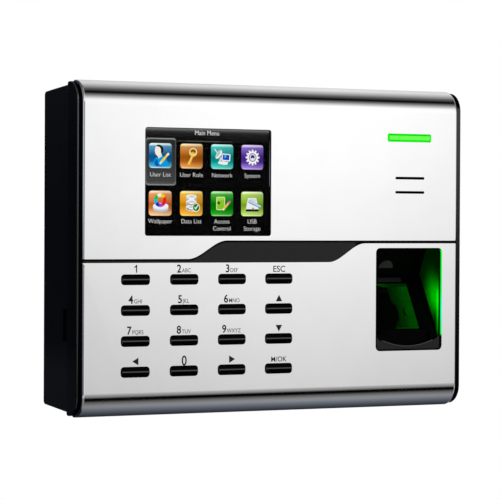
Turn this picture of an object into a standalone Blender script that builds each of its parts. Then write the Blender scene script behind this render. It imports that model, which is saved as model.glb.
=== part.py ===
"""Wall-mounted fingerprint terminal: colour display, sixteen keys, finger well and wall bracket.

Run with: blender --background --python part.py
Units are metres. +X is the viewer's right, +Z is up and +Y points at the wall. The origin is on the
wall plane, at the middle of the bracket's back face. Many sizes below are a depth: the distance
behind the front face, towards the wall.
"""

import math

import bmesh
import bpy
from mathutils import Matrix, Vector

MM = 0.001
GAP = 0.3 * MM  # between pieces that rest on each other

# Overall size
BODY_ENDS = (-89.7 * MM, 90.7 * MM)  # outer sides of the left and the right cheek
BODY_HEIGHT = 133.7 * MM
BODY_DEPTH = 40.0 * MM  # front face to wall
FRONT_Y = -BODY_DEPTH

# Metal front sheets
SHEET_ENDS = (-87.75 * MM, 87.95 * MM)
SHEET_THICKNESS = 1.2 * MM
BEND_RADIUS = 9.0 * MM
SHEET_REAR = 9.4 * MM  # depth where the bent sheet ends
BEND_STEPS = 8

# Front frame
CHEEK_FRONT = 1.3 * MM
CHEEK_HALF_HEIGHT = 66.2 * MM
CHEEK_RADIUS = 8.0 * MM
CHEEK_REAR_RADIUS = 1.0 * MM
FRAME_FRONT = SHEET_THICKNESS + GAP
FRAME_PLATE = 2.0 * MM
FRAME_BACK = FRAME_FRONT + FRAME_PLATE
FRAME_REAR = 11.0 * MM
FRAME_WALL = 3.3 * MM
CHEEK_WALL = 3.8 * MM

# Rear housing
HOUSING_FRONT = FRAME_REAR + GAP
HOUSING_REAR = 38.0 * MM
HOUSING_WALL = 2.0 * MM
HOUSING_HALF_FRONT = (88.8 * MM, 65.4 * MM)  # half width and half height at the rim
HOUSING_HALF_REAR = (87.6 * MM, 63.4 * MM)  # the same at the back wall
HOUSING_EDGE = 1.4 * MM

# Display, in the 4:3 shape of a 2.8 inch panel
DISPLAY_WIDTH = 57.6 * MM
DISPLAY_HEIGHT = 43.2 * MM
DISPLAY_CENTRE = (-31.8 * MM, 26.8 * MM)
DISPLAY_BORDER = 3.3 * MM  # glass hidden round the picture

# Trim band between the two sheets: a thin line that swells into a bar
BAND_LEFT_LOW = -5.55 * MM
BAND_LEFT_HIGH = -4.13 * MM
BAND_TOP = 3.32 * MM
BAND_RIGHT_LOW = 2.2 * MM
BAND_RISE_UPPER = (-41.0 * MM, -23.5 * MM)  # where the upper edge climbs
BAND_RISE_LOWER = (24.8 * MM, 42.0 * MM)  # where the lower edge climbs
BAND_STEPS = 12
BAND_GAP = 0.2 * MM

# Keys
KEY_PITCH = (21.84 * MM, 12.23 * MM)
KEY_FIRST = (-64.65 * MM, -12.25 * MM)
KEY_HOLE = (12.75 * MM, 4.2 * MM)
KEY_CAP = (12.15 * MM, 3.6 * MM)
KEY_FLANGE = (14.0 * MM, 5.6 * MM)
KEY_STEM = (8.0 * MM, 3.0 * MM)
KEY_RIDGE = 0.9 * MM  # how far the ridge stands out of the sheet
KEY_SHOULDER = 0.35 * MM
KEY_FLANGE_DEPTH = (3.8 * MM, 4.6 * MM)
KEY_STEM_END = 7.1 * MM
KEY_CORNER = 1.0 * MM
KEY_NAMES = (
    ("key_1", "key_2", "key_3", "key_escape"),
    ("key_4", "key_5", "key_6", "key_up"),
    ("key_7", "key_8", "key_9", "key_down"),
    ("key_left", "key_0", "key_right", "key_ok"),
)
MAT_DEPTH = (5.75 * MM, 7.9 * MM)
KEY_BOARD_DEPTH = (8.2 * MM, 9.8 * MM)
KEY_BOARD_ENDS = (-84.0 * MM, 19.0 * MM)
KEY_BOARD_POSTS = ((-80 * MM, -14 * MM), (-80 * MM, -44 * MM), (15 * MM, -14 * MM), (15 * MM, -50 * MM))

# Finger well and its sloping floor
WELL_CENTRE_X = 64.1 * MM
WELL_WINDOW = (32.9 * MM, 43.1 * MM)
WELL_WINDOW_TOP = 0.2 * MM
WELL_OUTER_WIDTH = 33.7 * MM
WELL_INNER_WIDTH = 31.7 * MM
WELL_RIM = FRAME_FRONT
WELL_APEX = (16.2 * MM, -10.9 * MM)  # depth and height of the deepest line
WELL_FOOT = (1.8 * MM, -36.4 * MM)  # depth and height where the floor meets the chin
WELL_TOP_DEPTH = 11.0 * MM
WELL_WALL = 1.84 * MM
SCOOP_WIDTH = 23.5 * MM
SCOOP_LOW = -41.0 * MM
SCOOP_ENDS = -38.6 * MM
SCOOP_DEPTH = 3.3 * MM
FLOOR_TILT = math.atan2(WELL_APEX[0] - WELL_FOOT[0], WELL_APEX[1] - WELL_FOOT[1])
GLASS_CENTRE = (8.6 * MM, -24.4 * MM)  # depth and height on the floor
GLASS_SIZE = (15.4 * MM, 21.8 * MM)

# Indicator and speaker
LIGHT_SIZE = (21.6 * MM, 3.3 * MM)
LIGHT_CENTRE = (63.87 * MM, 46.48 * MM)
SPEAKER_CENTRE = (64.2 * MM, 26.6 * MM)
SPEAKER_RADIUS = 14.0 * MM
SLOT_SIZE = (14.4 * MM, 1.0 * MM)
SLOT_PITCH = 5.95 * MM

# Boards and connectors
BOARD = 1.6 * MM
RIBBON = 0.3 * MM
MAIN_BOARD_FRONT = 21.4 * MM
MAIN_BOARD_BACK = MAIN_BOARD_FRONT + BOARD
MAIN_BOARD_POSTS = ((-54 * MM, 8 * MM), (54 * MM, 8 * MM), (-66 * MM, 56 * MM), (66 * MM, 56 * MM))
ON_BOARD = MAIN_BOARD_BACK + GAP  # depth where parts on the board's rear side start
RECESS_HALF_WIDTH = 36.0 * MM
RECESS_TOP = -2.0 * MM
RECESS_BOTTOM = -48.0 * MM
RECESS_FLOOR = 22.0 * MM
CONNECTOR_FOOT = 0.3 * MM  # height of the connectors' mouths
ETHERNET_X = (-31.0 * MM, -15.0 * MM)
TERMINAL_X = (-9.0 * MM, 13.0 * MM)
POWER_X = (18.0 * MM, 28.0 * MM)
CONNECTOR_REAR = 34.6 * MM
USB_CENTRE = (14.4 * MM, -30.4 * MM)  # depth and height of the port
USB_OPENING = (4.7 * MM, 12.4 * MM)  # depth and height of its mouth
USB_ENDS = (-85.4 * MM, -71.4 * MM)

# Fasteners
CASE_SCREW_X = 79.0 * MM
CASE_SCREW_Z = 55.0 * MM
SCREW_RADIUS = 1.5 * MM
SCREW_HOLE = 1.8 * MM
SCREW_HEAD = 2.8 * MM
SCREW_SEAT = 28.0 * MM  # depth of the shoulder that the head sits on

# Wall bracket
BRACKET_THICKNESS = 1.5 * MM
BRACKET_HALF_WIDTH = 52.0 * MM
BRACKET_TOP = 38.0 * MM
FLANGE_TOP = -64.6 * MM
LIFT = 8.0 * MM  # how far the terminal rises to come off the hooks
HOOK_WIDTH = 9.0 * MM
HOOK_PLACES = (
    (-40.0 * MM, 24.0 * MM),
    (40.0 * MM, 24.0 * MM),
    (-43.8 * MM, -30.0 * MM),
    (43.8 * MM, -30.0 * MM),
)
HOOK_TIP_DEPTH = (33.8 * MM, 35.3 * MM)
WALL_SCREW_HOLE = 2.2 * MM
WALL_SLOT = (14 * MM, 4.4 * MM)  # for the two screws of a wall box
WALL_SLOT_X = (-15 * MM, 15 * MM)
WALL_SCREW_PLACES = ((-34 * MM, 2 * MM), (34 * MM, 2 * MM), (-40 * MM, -56 * MM), (40 * MM, -56 * MM))
SECURITY_DEPTH = 32.5 * MM

# Tamper switch
TAMPER_PLACE = (0.0, 50.0 * MM)

FINE = 24  # sides of a visible round piece
COARSE = 12  # sides of a screw or a hole

PARTS = bpy.data.collections.new("fingerprint_terminal")
CUTTERS = bpy.data.collections.new("cutters")


# ---------------------------------------------------------------- scene and materials
def clear_scene():
    for obj in list(bpy.data.objects):
        bpy.data.objects.remove(obj)
    bpy.context.scene.collection.children.link(PARTS)
    bpy.context.scene.collection.children.link(CUTTERS)


def make_material(name, colour, roughness, metallic=0.0):
    material = bpy.data.materials.new(name)
    material.use_nodes = True
    shader = material.node_tree.nodes["Principled BSDF"]
    shader.inputs["Base Color"].default_value = (*colour, 1.0)
    shader.inputs["Roughness"].default_value = roughness
    shader.inputs["Metallic"].default_value = metallic
    material.diffuse_color = (*colour, 1.0)
    return material


MATERIALS = {
    name: make_material(name, *finish)
    for name, finish in {
        "silver_sheet": ((0.78, 0.79, 0.80), 0.35, 1.0),
        "black_case": ((0.012, 0.013, 0.018), 0.4),
        "grey_trim": ((0.035, 0.035, 0.036), 0.35),
        "key_black": ((0.008, 0.008, 0.009), 0.3),
        "window": ((0.01, 0.01, 0.012), 0.05),
        "liquid_crystal": ((0.02, 0.02, 0.03), 0.2),
        "light_guide": ((0.2, 0.95, 0.15), 0.3),
        "optical_glass": ((0.03, 0.25, 0.06), 0.05),
        "silicone": ((0.55, 0.56, 0.55), 0.7),
        "circuit_board": ((0.02, 0.16, 0.08), 0.5),
        "connector": ((0.03, 0.03, 0.03), 0.5),
        "plated_metal": ((0.7, 0.7, 0.68), 0.3, 1.0),
        "zinc_steel": ((0.55, 0.56, 0.57), 0.45, 1.0),
        "cone_paper": ((0.05, 0.05, 0.05), 0.9),
        "ribbon": ((0.75, 0.5, 0.15), 0.5),
        "battery_wrap": ((0.05, 0.15, 0.45), 0.4),
    }.items()
}


def file_away(obj, collection):
    """Moves an object into one of the two collections."""
    for home in list(obj.users_collection):
        home.objects.unlink(obj)
    collection.objects.link(obj)


def finish_part(obj, name, material):
    """Names a solid, gives it its material and puts it among the parts."""
    obj.name = name
    obj.data.name = name
    obj.data.materials.clear()
    obj.data.materials.append(MATERIALS[material])
    obj.data.shade_smooth()
    obj.data.set_sharp_from_angle(angle=math.radians(30))
    file_away(obj, PARTS)
    return obj


def finish_cutter(obj, name="cutter"):
    obj.name = name
    obj.hide_render = True
    obj.display_type = "WIRE"
    file_away(obj, CUTTERS)
    return obj


# ---------------------------------------------------------------- basic solids
def box(low, high):
    """A box between two corners given as (x, depth, height)."""
    size = Vector(high) - Vector(low)
    middle = (Vector(high) + Vector(low)) / 2
    bpy.ops.mesh.primitive_cube_add(size=1.0, location=(middle.x, FRONT_Y + middle.y, middle.z))
    obj = bpy.context.object
    obj.scale = size
    bpy.ops.object.transform_apply(location=False, rotation=False, scale=True)
    return obj


def rod(centre, radius, start, end, sides=COARSE):
    """A cylinder along the depth, at centre (x, height)."""
    bpy.ops.mesh.primitive_cylinder_add(
        vertices=sides,
        radius=radius,
        depth=end - start,
        location=(centre[0], FRONT_Y + (start + end) / 2, centre[1]),
        rotation=(math.radians(90), 0, 0),
    )
    return bpy.context.object


def upright_rod(x, depth, radius, low, high, sides=COARSE):
    """A cylinder along the height."""
    bpy.ops.mesh.primitive_cylinder_add(
        vertices=sides, radius=radius, depth=high - low, location=(x, FRONT_Y + depth, (low + high) / 2)
    )
    return bpy.context.object


def curve_to_mesh(curve_obj):
    """The evaluated curve as a closed mesh object in the same place."""
    graph = bpy.context.evaluated_depsgraph_get()
    mesh = bpy.data.meshes.new_from_object(curve_obj.evaluated_get(graph))
    shell = bmesh.new()
    shell.from_mesh(mesh)
    bmesh.ops.remove_doubles(shell, verts=shell.verts, dist=0.001 * MM)
    bmesh.ops.recalc_face_normals(shell, faces=shell.faces)
    shell.to_mesh(mesh)
    shell.free()
    obj = bpy.data.objects.new("outline", mesh)
    bpy.context.scene.collection.objects.link(obj)
    obj.matrix_world = curve_obj.matrix_world
    bpy.data.objects.remove(curve_obj)
    return obj


def extruded(outlines, thickness, location, rotation):
    """One or more flat outlines, filled and given a thickness centred on the location."""
    curve = bpy.data.curves.new("outline", "CURVE")
    curve.dimensions = "2D"
    curve.fill_mode = "BOTH"
    curve.extrude = thickness / 2
    for outline in outlines:
        spline = curve.splines.new("POLY")
        spline.points.add(len(outline) - 1)
        spline.use_cyclic_u = True
        for point, (across, up) in zip(spline.points, outline):
            point.co = (across, up, 0, 1)
    obj = bpy.data.objects.new("outline", curve)
    bpy.context.scene.collection.objects.link(obj)
    obj.location = location
    obj.rotation_euler = rotation
    bpy.context.view_layer.update()
    return curve_to_mesh(obj)


def front_outline(outlines, start, end):
    """Outlines of (x, height) points, from one depth to another."""
    place = (0, FRONT_Y + (start + end) / 2, 0)
    return extruded(outlines, end - start, place, (math.radians(90), 0, 0))


def side_outline(outline, low_x, high_x):
    """An outline of (depth, height) points, from one x to another."""
    place = ((low_x + high_x) / 2, FRONT_Y, 0)
    return extruded([outline], high_x - low_x, place, (math.radians(90), 0, math.radians(90)))


def arc(centre, radius, start_deg, end_deg, steps):
    """Points on an arc, ends included."""
    turn = (end_deg - start_deg) / steps
    angles = [math.radians(start_deg + turn * i) for i in range(steps + 1)]
    return [(centre[0] + radius * math.cos(a), centre[1] + radius * math.sin(a)) for a in angles]


def rounded_rectangle(centre, size, corner, steps=3):
    half = (size[0] / 2 - corner, size[1] / 2 - corner)
    points = []
    for sign_x, sign_z, start in ((1, -1, -90), (1, 1, 0), (-1, 1, 90), (-1, -1, 180)):
        middle = (centre[0] + sign_x * half[0], centre[1] + sign_z * half[1])
        points += arc(middle, corner, start, start + 90, steps)
    return points


def strip(path, low_x, high_x, thickness):
    """A thin bent strip: (depth, height) points swept along x, then thickened."""
    shell = bmesh.new()
    ends = [shell.verts.new((low_x, FRONT_Y + depth, height)) for depth, height in path]
    edges = [shell.edges.new(pair) for pair in zip(ends, ends[1:])]
    swept = bmesh.ops.extrude_edge_only(shell, edges=edges)
    moved = [item for item in swept["geom"] if isinstance(item, bmesh.types.BMVert)]
    bmesh.ops.translate(shell, verts=moved, vec=(high_x - low_x, 0, 0))
    bmesh.ops.recalc_face_normals(shell, faces=shell.faces)
    mesh = bpy.data.meshes.new("strip")
    shell.to_mesh(mesh)
    shell.free()
    obj = bpy.data.objects.new("strip", mesh)
    bpy.context.scene.collection.objects.link(obj)
    solidify = obj.modifiers.new("thickness", "SOLIDIFY")
    solidify.thickness = thickness
    solidify.offset = 0
    solidify.use_even_offset = True
    return obj


def combine(obj, other, operation):
    """Adds a Boolean to obj. The other solid becomes a hidden cutter."""
    modifier = obj.modifiers.new(operation.lower(), "BOOLEAN")
    modifier.operation = operation
    modifier.solver = "EXACT"
    modifier.object = finish_cutter(other)
    return obj


def cut(obj, *cutters):
    for cutter in cutters:
        combine(obj, cutter, "DIFFERENCE")
    return obj


def join(obj, *others):
    for other in others:
        combine(obj, other, "UNION")
    return obj


# ---------------------------------------------------------------- shared outlines
def smooth_step(x, ends, low, high):
    """Height of an S-shaped climb from low to high between two x positions."""
    share = min(1.0, max(0.0, (x - ends[0]) / (ends[1] - ends[0])))
    return low + (high - low) * share * share * (3 - 2 * share)


def climb(ends, low, high):
    """Points of an S-shaped climb."""
    xs = [ends[0] + (ends[1] - ends[0]) * i / BAND_STEPS for i in range(BAND_STEPS + 1)]
    return [(x, smooth_step(x, ends, low, high)) for x in xs]


def band_edges(inset):
    """The band's upper and lower edges from left to right, each moved inwards by an inset."""
    reach = SHEET_ENDS[1] + 2 * MM
    upper = climb(BAND_RISE_UPPER, BAND_LEFT_HIGH - inset, BAND_TOP - inset)
    lower = climb(BAND_RISE_LOWER, BAND_LEFT_LOW + inset, BAND_RIGHT_LOW + inset)
    upper = [(-reach, upper[0][1]), *upper, (reach, upper[-1][1])]
    lower = [(-reach, lower[0][1]), *lower, (reach, lower[-1][1])]
    return upper, lower


def key_places():
    """(name, x, height) of each key."""
    for row, names in enumerate(KEY_NAMES):
        for column, name in enumerate(names):
            yield name, KEY_FIRST[0] + column * KEY_PITCH[0], KEY_FIRST[1] - row * KEY_PITCH[1]


def key_outlines(size, corner):
    return [rounded_rectangle((x, z), size, corner) for _, x, z in key_places()]


def slot_outlines(grow=0.0):
    """The two sound slots in front of the speaker."""
    size = (SLOT_SIZE[0] + grow, SLOT_SIZE[1] + grow)
    x, z = SPEAKER_CENTRE
    return [rounded_rectangle((x, z + side * SLOT_PITCH / 2), size, 0.4 * MM, 2) for side in (-1, 1)]


def bent_profile(front, top, radius, rear):
    """(depth, height) points of a front face bent back round two corners."""
    lower = arc((front + radius, -top + radius), radius, -90, -180, BEND_STEPS)
    upper = arc((front + radius, top - radius), radius, 180, 90, BEND_STEPS)
    return [(rear, -top), *lower, *upper, (rear, top)]


# ---------------------------------------------------------------- front
def front_sheet():
    """The bent sheet before it is split in two, as a thickened open surface."""
    half = SHEET_THICKNESS / 2
    middle = bent_profile(half, BODY_HEIGHT / 2 - half, BEND_RADIUS - half, SHEET_REAR)
    return strip(middle, *SHEET_ENDS, SHEET_THICKNESS)


def build_front_panels():
    past = 20 * MM
    low, high = -BODY_HEIGHT / 2 - past, BODY_HEIGHT / 2 + past
    upper_edge, lower_edge = band_edges(0.0)
    left, right = upper_edge[0][0], upper_edge[-1][0]

    upper = front_sheet()
    cut(upper, front_outline([[*upper_edge, (right, low), (left, low)]], -past, past))
    window = rounded_rectangle(DISPLAY_CENTRE, (DISPLAY_WIDTH, DISPLAY_HEIGHT), 1.0 * MM)
    light = rounded_rectangle(LIGHT_CENTRE, LIGHT_SIZE, 0.6 * MM)
    cut(upper, front_outline([window, light, *slot_outlines()], -past, SHEET_THICKNESS * 3))
    finish_part(upper, "front_panel_upper", "silver_sheet")

    lower = front_sheet()
    cut(lower, front_outline([[*lower_edge, (right, high), (left, high)]], -past, past))
    well_middle = (WELL_CENTRE_X, WELL_WINDOW_TOP - WELL_WINDOW[1] / 2)
    well = rounded_rectangle(well_middle, WELL_WINDOW, 1.9 * MM, 4)
    holes = key_outlines(KEY_HOLE, KEY_CORNER + GAP)
    cut(lower, front_outline([well, *holes], -past, SHEET_THICKNESS * 3))
    finish_part(lower, "front_panel_lower", "silver_sheet")


def build_trim_band():
    upper, lower = band_edges(BAND_GAP)
    left, right = SHEET_ENDS
    upper = [(max(left, min(right, x)), z) for x, z in upper]
    lower = [(max(left, min(right, x)), z) for x, z in lower]
    band = front_outline([[*lower, *reversed(upper)]], 0.3 * MM, SHEET_THICKNESS)
    finish_part(band, "trim_band", "grey_trim")


def cheek_profile():
    """(depth, height) points of a cheek: front corners of a large radius, rear ones of a small one."""
    front, half, rear = CHEEK_FRONT + CHEEK_RADIUS, CHEEK_HALF_HEIGHT, FRAME_REAR - CHEEK_REAR_RADIUS
    high, edge = half - CHEEK_RADIUS, half - CHEEK_REAR_RADIUS
    return [
        *arc((rear, -edge), CHEEK_REAR_RADIUS, 0, -90, 3),
        *arc((front, -high), CHEEK_RADIUS, -90, -180, BEND_STEPS),
        *arc((front, high), CHEEK_RADIUS, 180, 90, BEND_STEPS),
        *arc((rear, edge), CHEEK_REAR_RADIUS, 90, 0, 3),
    ]


def build_front_frame():
    """The moulding that carries the sheets, with a cheek at each end."""
    top = BODY_HEIGHT / 2
    inner = (SHEET_ENDS[0] - GAP, SHEET_ENDS[1] + GAP)
    middle = bent_profile(FRAME_FRONT, top - SHEET_THICKNESS - GAP, BEND_RADIUS - SHEET_THICKNESS, FRAME_REAR)
    cheek = cheek_profile()
    frame = side_outline(middle, inner[0] - 0.5 * MM, inner[1] + 0.5 * MM)
    join(frame, side_outline(cheek, BODY_ENDS[0], inner[0]))
    join(frame, side_outline(cheek, inner[1], BODY_ENDS[1]))
    hollow_x = BODY_ENDS[1] - CHEEK_WALL
    hollow_z = top - SHEET_THICKNESS - GAP - FRAME_WALL
    past = FRAME_REAR + 5 * MM
    cut(frame, box((-hollow_x, FRAME_BACK, -hollow_z), (hollow_x, past, hollow_z)))

    for x in (-CASE_SCREW_X, CASE_SCREW_X):
        for z in (-CASE_SCREW_Z, CASE_SCREW_Z):
            join(frame, rod((x, z), 3.6 * MM, FRAME_BACK - 1.0 * MM, FRAME_REAR + 0.1 * MM, FINE))
            cut(frame, rod((x, z), SCREW_HOLE, FRAME_BACK + 1.0 * MM, past))
    for post in KEY_BOARD_POSTS:
        join(frame, rod(post, 2.0 * MM, FRAME_BACK - 1.0 * MM, KEY_BOARD_DEPTH[0] - GAP))

    glass = (DISPLAY_WIDTH + 2 * DISPLAY_BORDER + 2 * GAP, DISPLAY_HEIGHT + 2 * 2.5 * MM + 2 * GAP)
    display = rounded_rectangle(DISPLAY_CENTRE, glass, 0.5 * MM, 1)
    light = rounded_rectangle(LIGHT_CENTRE, (LIGHT_SIZE[0] + GAP, LIGHT_SIZE[1] + GAP), 0.6 * MM, 2)
    well_middle = (WELL_CENTRE_X, WELL_WINDOW_TOP - WELL_WINDOW[1] / 2)
    well_size = (WELL_OUTER_WIDTH + 2 * GAP, WELL_WINDOW[1] + 1.4 * MM)
    well = rounded_rectangle(well_middle, well_size, 0.5 * MM, 1)
    holes = key_outlines((KEY_HOLE[0] + 0.2 * MM, KEY_HOLE[1] + 0.2 * MM), KEY_CORNER)
    openings = [display, light, well, *slot_outlines(0.3 * MM), *holes]
    cut(frame, front_outline(openings, -5 * MM, FRAME_BACK + 1.5 * MM))
    finish_part(frame, "front_frame", "black_case")


def build_display():
    x, z = DISPLAY_CENTRE
    window = rounded_rectangle(DISPLAY_CENTRE, (DISPLAY_WIDTH - GAP, DISPLAY_HEIGHT - GAP), 0.9 * MM)
    finish_part(front_outline([window], 0.1 * MM, SHEET_THICKNESS), "display_window", "window")
    half = (DISPLAY_WIDTH / 2 + DISPLAY_BORDER, DISPLAY_HEIGHT / 2 + 2.5 * MM)
    panel = box((x - half[0], FRAME_FRONT, z - half[1]), (x + half[0], FRAME_BACK, z + half[1]))
    finish_part(panel, "display_panel", "liquid_crystal")
    rim = 1.6 * MM
    outer = (half[0] + rim, half[1] + rim)
    tray = box((x - outer[0], 3.8 * MM, z - outer[1]), (x + outer[0], 7.4 * MM, z + outer[1]))
    finish_part(tray, "display_backlight", "plated_metal")
    folded = [
        (7.9 * MM, z - 8 * MM),
        (7.9 * MM, 1.0 * MM),
        (11 * MM, -1.5 * MM),
        (18 * MM, 0),
        (20.9 * MM, 3 * MM),
        (20.9 * MM, 9 * MM),
    ]
    finish_part(strip(folded, x - 8 * MM, x + 8 * MM, RIBBON), "display_ribbon", "ribbon")


def build_indicator():
    outline = rounded_rectangle(LIGHT_CENTRE, (LIGHT_SIZE[0] - GAP, LIGHT_SIZE[1] - GAP), 0.5 * MM)
    guide = front_outline([outline], -0.2 * MM, 4.5 * MM)
    x, z = LIGHT_CENTRE
    foot = (LIGHT_SIZE[0] / 2 + 1.2 * MM, 3.0 * MM)
    join(guide, box((x - foot[0], 3.8 * MM, z - foot[1]), (x + foot[0], 5.4 * MM, z + foot[1])))
    finish_part(guide, "indicator_light_guide", "light_guide")
    board = box((x - foot[0], 7.0 * MM, z - 4 * MM), (x + foot[0], 7.0 * MM + BOARD, z + 4 * MM))
    finish_part(board, "indicator_board", "circuit_board")
    led = box((x - 8 * MM, 5.7 * MM, z - 1.4 * MM), (x + 8 * MM, 6.7 * MM, z + 1.4 * MM))
    finish_part(led, "indicator_led", "light_guide")


def turned(profile, centre, sides=FINE):
    """A solid turned about an axis along the depth. The profile's (radius, depth) points run round it."""
    shell = bmesh.new()
    ends = [shell.verts.new((radius, 0, -depth)) for radius, depth in profile]
    for pair in zip(ends, ends[1:]):
        shell.edges.new(pair)
    mesh = bpy.data.meshes.new("turned")
    shell.to_mesh(mesh)
    shell.free()
    obj = bpy.data.objects.new("turned", mesh)
    bpy.context.scene.collection.objects.link(obj)
    screw = obj.modifiers.new("turn", "SCREW")
    screw.axis = "Z"
    screw.steps = sides
    screw.render_steps = sides
    screw.use_merge_vertices = True
    screw.merge_threshold = 0.00001
    obj.location = (centre[0], FRONT_Y, centre[1])
    obj.rotation_euler = (math.radians(90), 0, 0)
    return obj


def build_speaker():
    outer = SPEAKER_RADIUS
    basket = [
        (outer, 4.0 * MM),
        (outer, 5.6 * MM),
        (8.0 * MM, 8.6 * MM),
        (6.6 * MM, 8.6 * MM),
        (6.6 * MM, 7.2 * MM),
        (7.4 * MM, 7.2 * MM),
        (12.2 * MM, 5.0 * MM),
        (12.2 * MM, 4.0 * MM),
        (outer, 4.0 * MM),
    ]
    finish_part(turned(basket, SPEAKER_CENTRE), "speaker_basket", "plated_metal")
    cone = [
        (11.8 * MM, 4.1 * MM),
        (11.8 * MM, 4.5 * MM),
        (6.0 * MM, 6.9 * MM),
        (0.0, 6.3 * MM),
        (0.0, 5.8 * MM),
        (5.8 * MM, 6.4 * MM),
        (11.2 * MM, 4.1 * MM),
        (11.8 * MM, 4.1 * MM),
    ]
    finish_part(turned(cone, SPEAKER_CENTRE), "speaker_cone", "cone_paper")
    finish_part(rod(SPEAKER_CENTRE, 7.6 * MM, 8.9 * MM, 12.4 * MM, FINE), "speaker_magnet", "plated_metal")


# ---------------------------------------------------------------- keypad
def build_keys():
    """One solid key, then fifteen more that share its mesh."""
    half_z = KEY_CAP[1] / 2
    flange_front, flange_rear = KEY_FLANGE_DEPTH
    root = flange_front + 0.3 * MM
    roof = [
        (root, -half_z),
        (-KEY_SHOULDER, -half_z),
        (-KEY_RIDGE, 0),
        (-KEY_SHOULDER, half_z),
        (root, half_z),
    ]
    cap = side_outline(roof, -KEY_CAP[0] / 2, KEY_CAP[0] / 2)
    rounding = front_outline([rounded_rectangle((0, 0), KEY_CAP, KEY_CORNER)], -2 * MM, flange_front + 1 * MM)
    combine(cap, rounding, "INTERSECT")
    half_x, half_flange = KEY_FLANGE[0] / 2, KEY_FLANGE[1] / 2
    flange = box((-half_x, flange_front, -half_flange), (half_x, flange_rear, half_flange))
    stem_x, stem_z = KEY_STEM[0] / 2, KEY_STEM[1] / 2
    stem = box((-stem_x, flange_rear - 0.3 * MM, -stem_z), (stem_x, KEY_STEM_END, stem_z))
    join(cap, flange, stem)

    graph = bpy.context.evaluated_depsgraph_get()
    mesh = bpy.data.meshes.new_from_object(cap.evaluated_get(graph))
    mesh.transform(cap.matrix_world)
    bpy.data.objects.remove(cap)
    mesh.materials.clear()
    mesh.materials.append(MATERIALS["key_black"])
    for name, x, z in key_places():
        key = bpy.data.objects.new(name, mesh)
        key.location = (x, 0, z)
        PARTS.objects.link(key)


def build_key_mat_and_board():
    grid_x = (KEY_FIRST[0] - 10 * MM, KEY_FIRST[0] + 3 * KEY_PITCH[0] + 10 * MM)
    grid_z = (KEY_FIRST[1] - 3 * KEY_PITCH[1] - 6 * MM, KEY_FIRST[1] + 5.5 * MM)
    mat = box((grid_x[0], MAT_DEPTH[0], grid_z[0]), (grid_x[1], MAT_DEPTH[1], grid_z[1]))
    holes = key_outlines((KEY_STEM[0] + 2 * GAP, KEY_STEM[1] + 2 * GAP), 0.4 * MM)
    cut(mat, front_outline(holes, MAT_DEPTH[0] - 1 * MM, MAT_DEPTH[1] + 1 * MM))
    finish_part(mat, "key_mat", "silicone")

    left, right = KEY_BOARD_ENDS
    board = box((left, KEY_BOARD_DEPTH[0], grid_z[0]), (right, KEY_BOARD_DEPTH[1], grid_z[1]))
    corner = (-CASE_SCREW_X + 5 * MM, -CASE_SCREW_Z + 5 * MM)
    cut(board, box((left - 1 * MM, 0, grid_z[0] - 1 * MM), (corner[0], 15 * MM, corner[1])))
    finish_part(board, "key_board", "circuit_board")
    folded = [
        (10.3 * MM, -16 * MM),
        (10.3 * MM, -9 * MM),
        (14 * MM, -4 * MM),
        (19.8 * MM, 2.2 * MM),
        (20.9 * MM, 4 * MM),
        (20.9 * MM, 9 * MM),
    ]
    finish_part(strip(folded, -14 * MM, -4 * MM, RIBBON), "keypad_ribbon", "ribbon")


# ---------------------------------------------------------------- finger well and sensor
def build_finger_well():
    half_outer = WELL_OUTER_WIDTH / 2
    half_inner = WELL_INNER_WIDTH / 2
    top = WELL_WINDOW_TOP + 0.4 * MM
    bottom = WELL_WINDOW_TOP - WELL_WINDOW[1] - 0.4 * MM
    inner_top = top - 0.9 * MM
    inner_bottom = bottom + 0.9 * MM
    chin_rear = WELL_FOOT[0] + 2.4 * MM
    outer = [
        (WELL_RIM, bottom),
        (WELL_RIM, top),
        (WELL_TOP_DEPTH + 1.6 * MM, top),
        (WELL_APEX[0] + WELL_WALL, WELL_APEX[1]),
        (chin_rear, WELL_FOOT[1] + 1.0 * MM),
        (chin_rear, bottom),
    ]
    well = side_outline(outer, WELL_CENTRE_X - half_outer, WELL_CENTRE_X + half_outer)
    front = -1 * MM
    cavity = [
        (front, inner_bottom),
        (front, inner_top),
        (WELL_TOP_DEPTH, inner_top),
        WELL_APEX,
        WELL_FOOT,
        (WELL_FOOT[0], inner_bottom),
    ]
    cut(well, side_outline(cavity, WELL_CENTRE_X - half_inner, WELL_CENTRE_X + half_inner))

    drop = SCOOP_ENDS - SCOOP_LOW
    half = SCOOP_WIDTH / 2
    radius = (half * half + drop * drop) / (2 * drop)
    spread = math.degrees(math.asin(half / radius))
    smile = arc((WELL_CENTRE_X, SCOOP_LOW + radius), radius, -90 - spread, -90 + spread, 10)
    ledge = WELL_FOOT[1] + 2.0 * MM
    smile += [(WELL_CENTRE_X + half, ledge), (WELL_CENTRE_X - half, ledge)]
    cut(well, front_outline([smile], front, SCOOP_DEPTH))

    half_x, half_z = GLASS_SIZE[0] / 2 + GAP, GLASS_SIZE[1] / 2 + GAP
    cut(well, tilt_to_floor(box((-half_x, -3 * MM, -half_z), (half_x, 12 * MM, half_z))))
    finish_part(well, "finger_well", "black_case")


def tilt_to_floor(obj):
    """Moves a solid from the middle of the front face to the finger glass, leaning with the floor."""
    obj.data.transform(obj.matrix_world)
    obj.data.transform(Matrix.Translation((0, -FRONT_Y, 0)))
    obj.matrix_world.identity()
    obj.location = (WELL_CENTRE_X, FRONT_Y + GLASS_CENTRE[0], GLASS_CENTRE[1])
    obj.rotation_euler = (-FLOOR_TILT, 0, 0)
    bpy.context.view_layer.update()
    return obj


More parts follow.
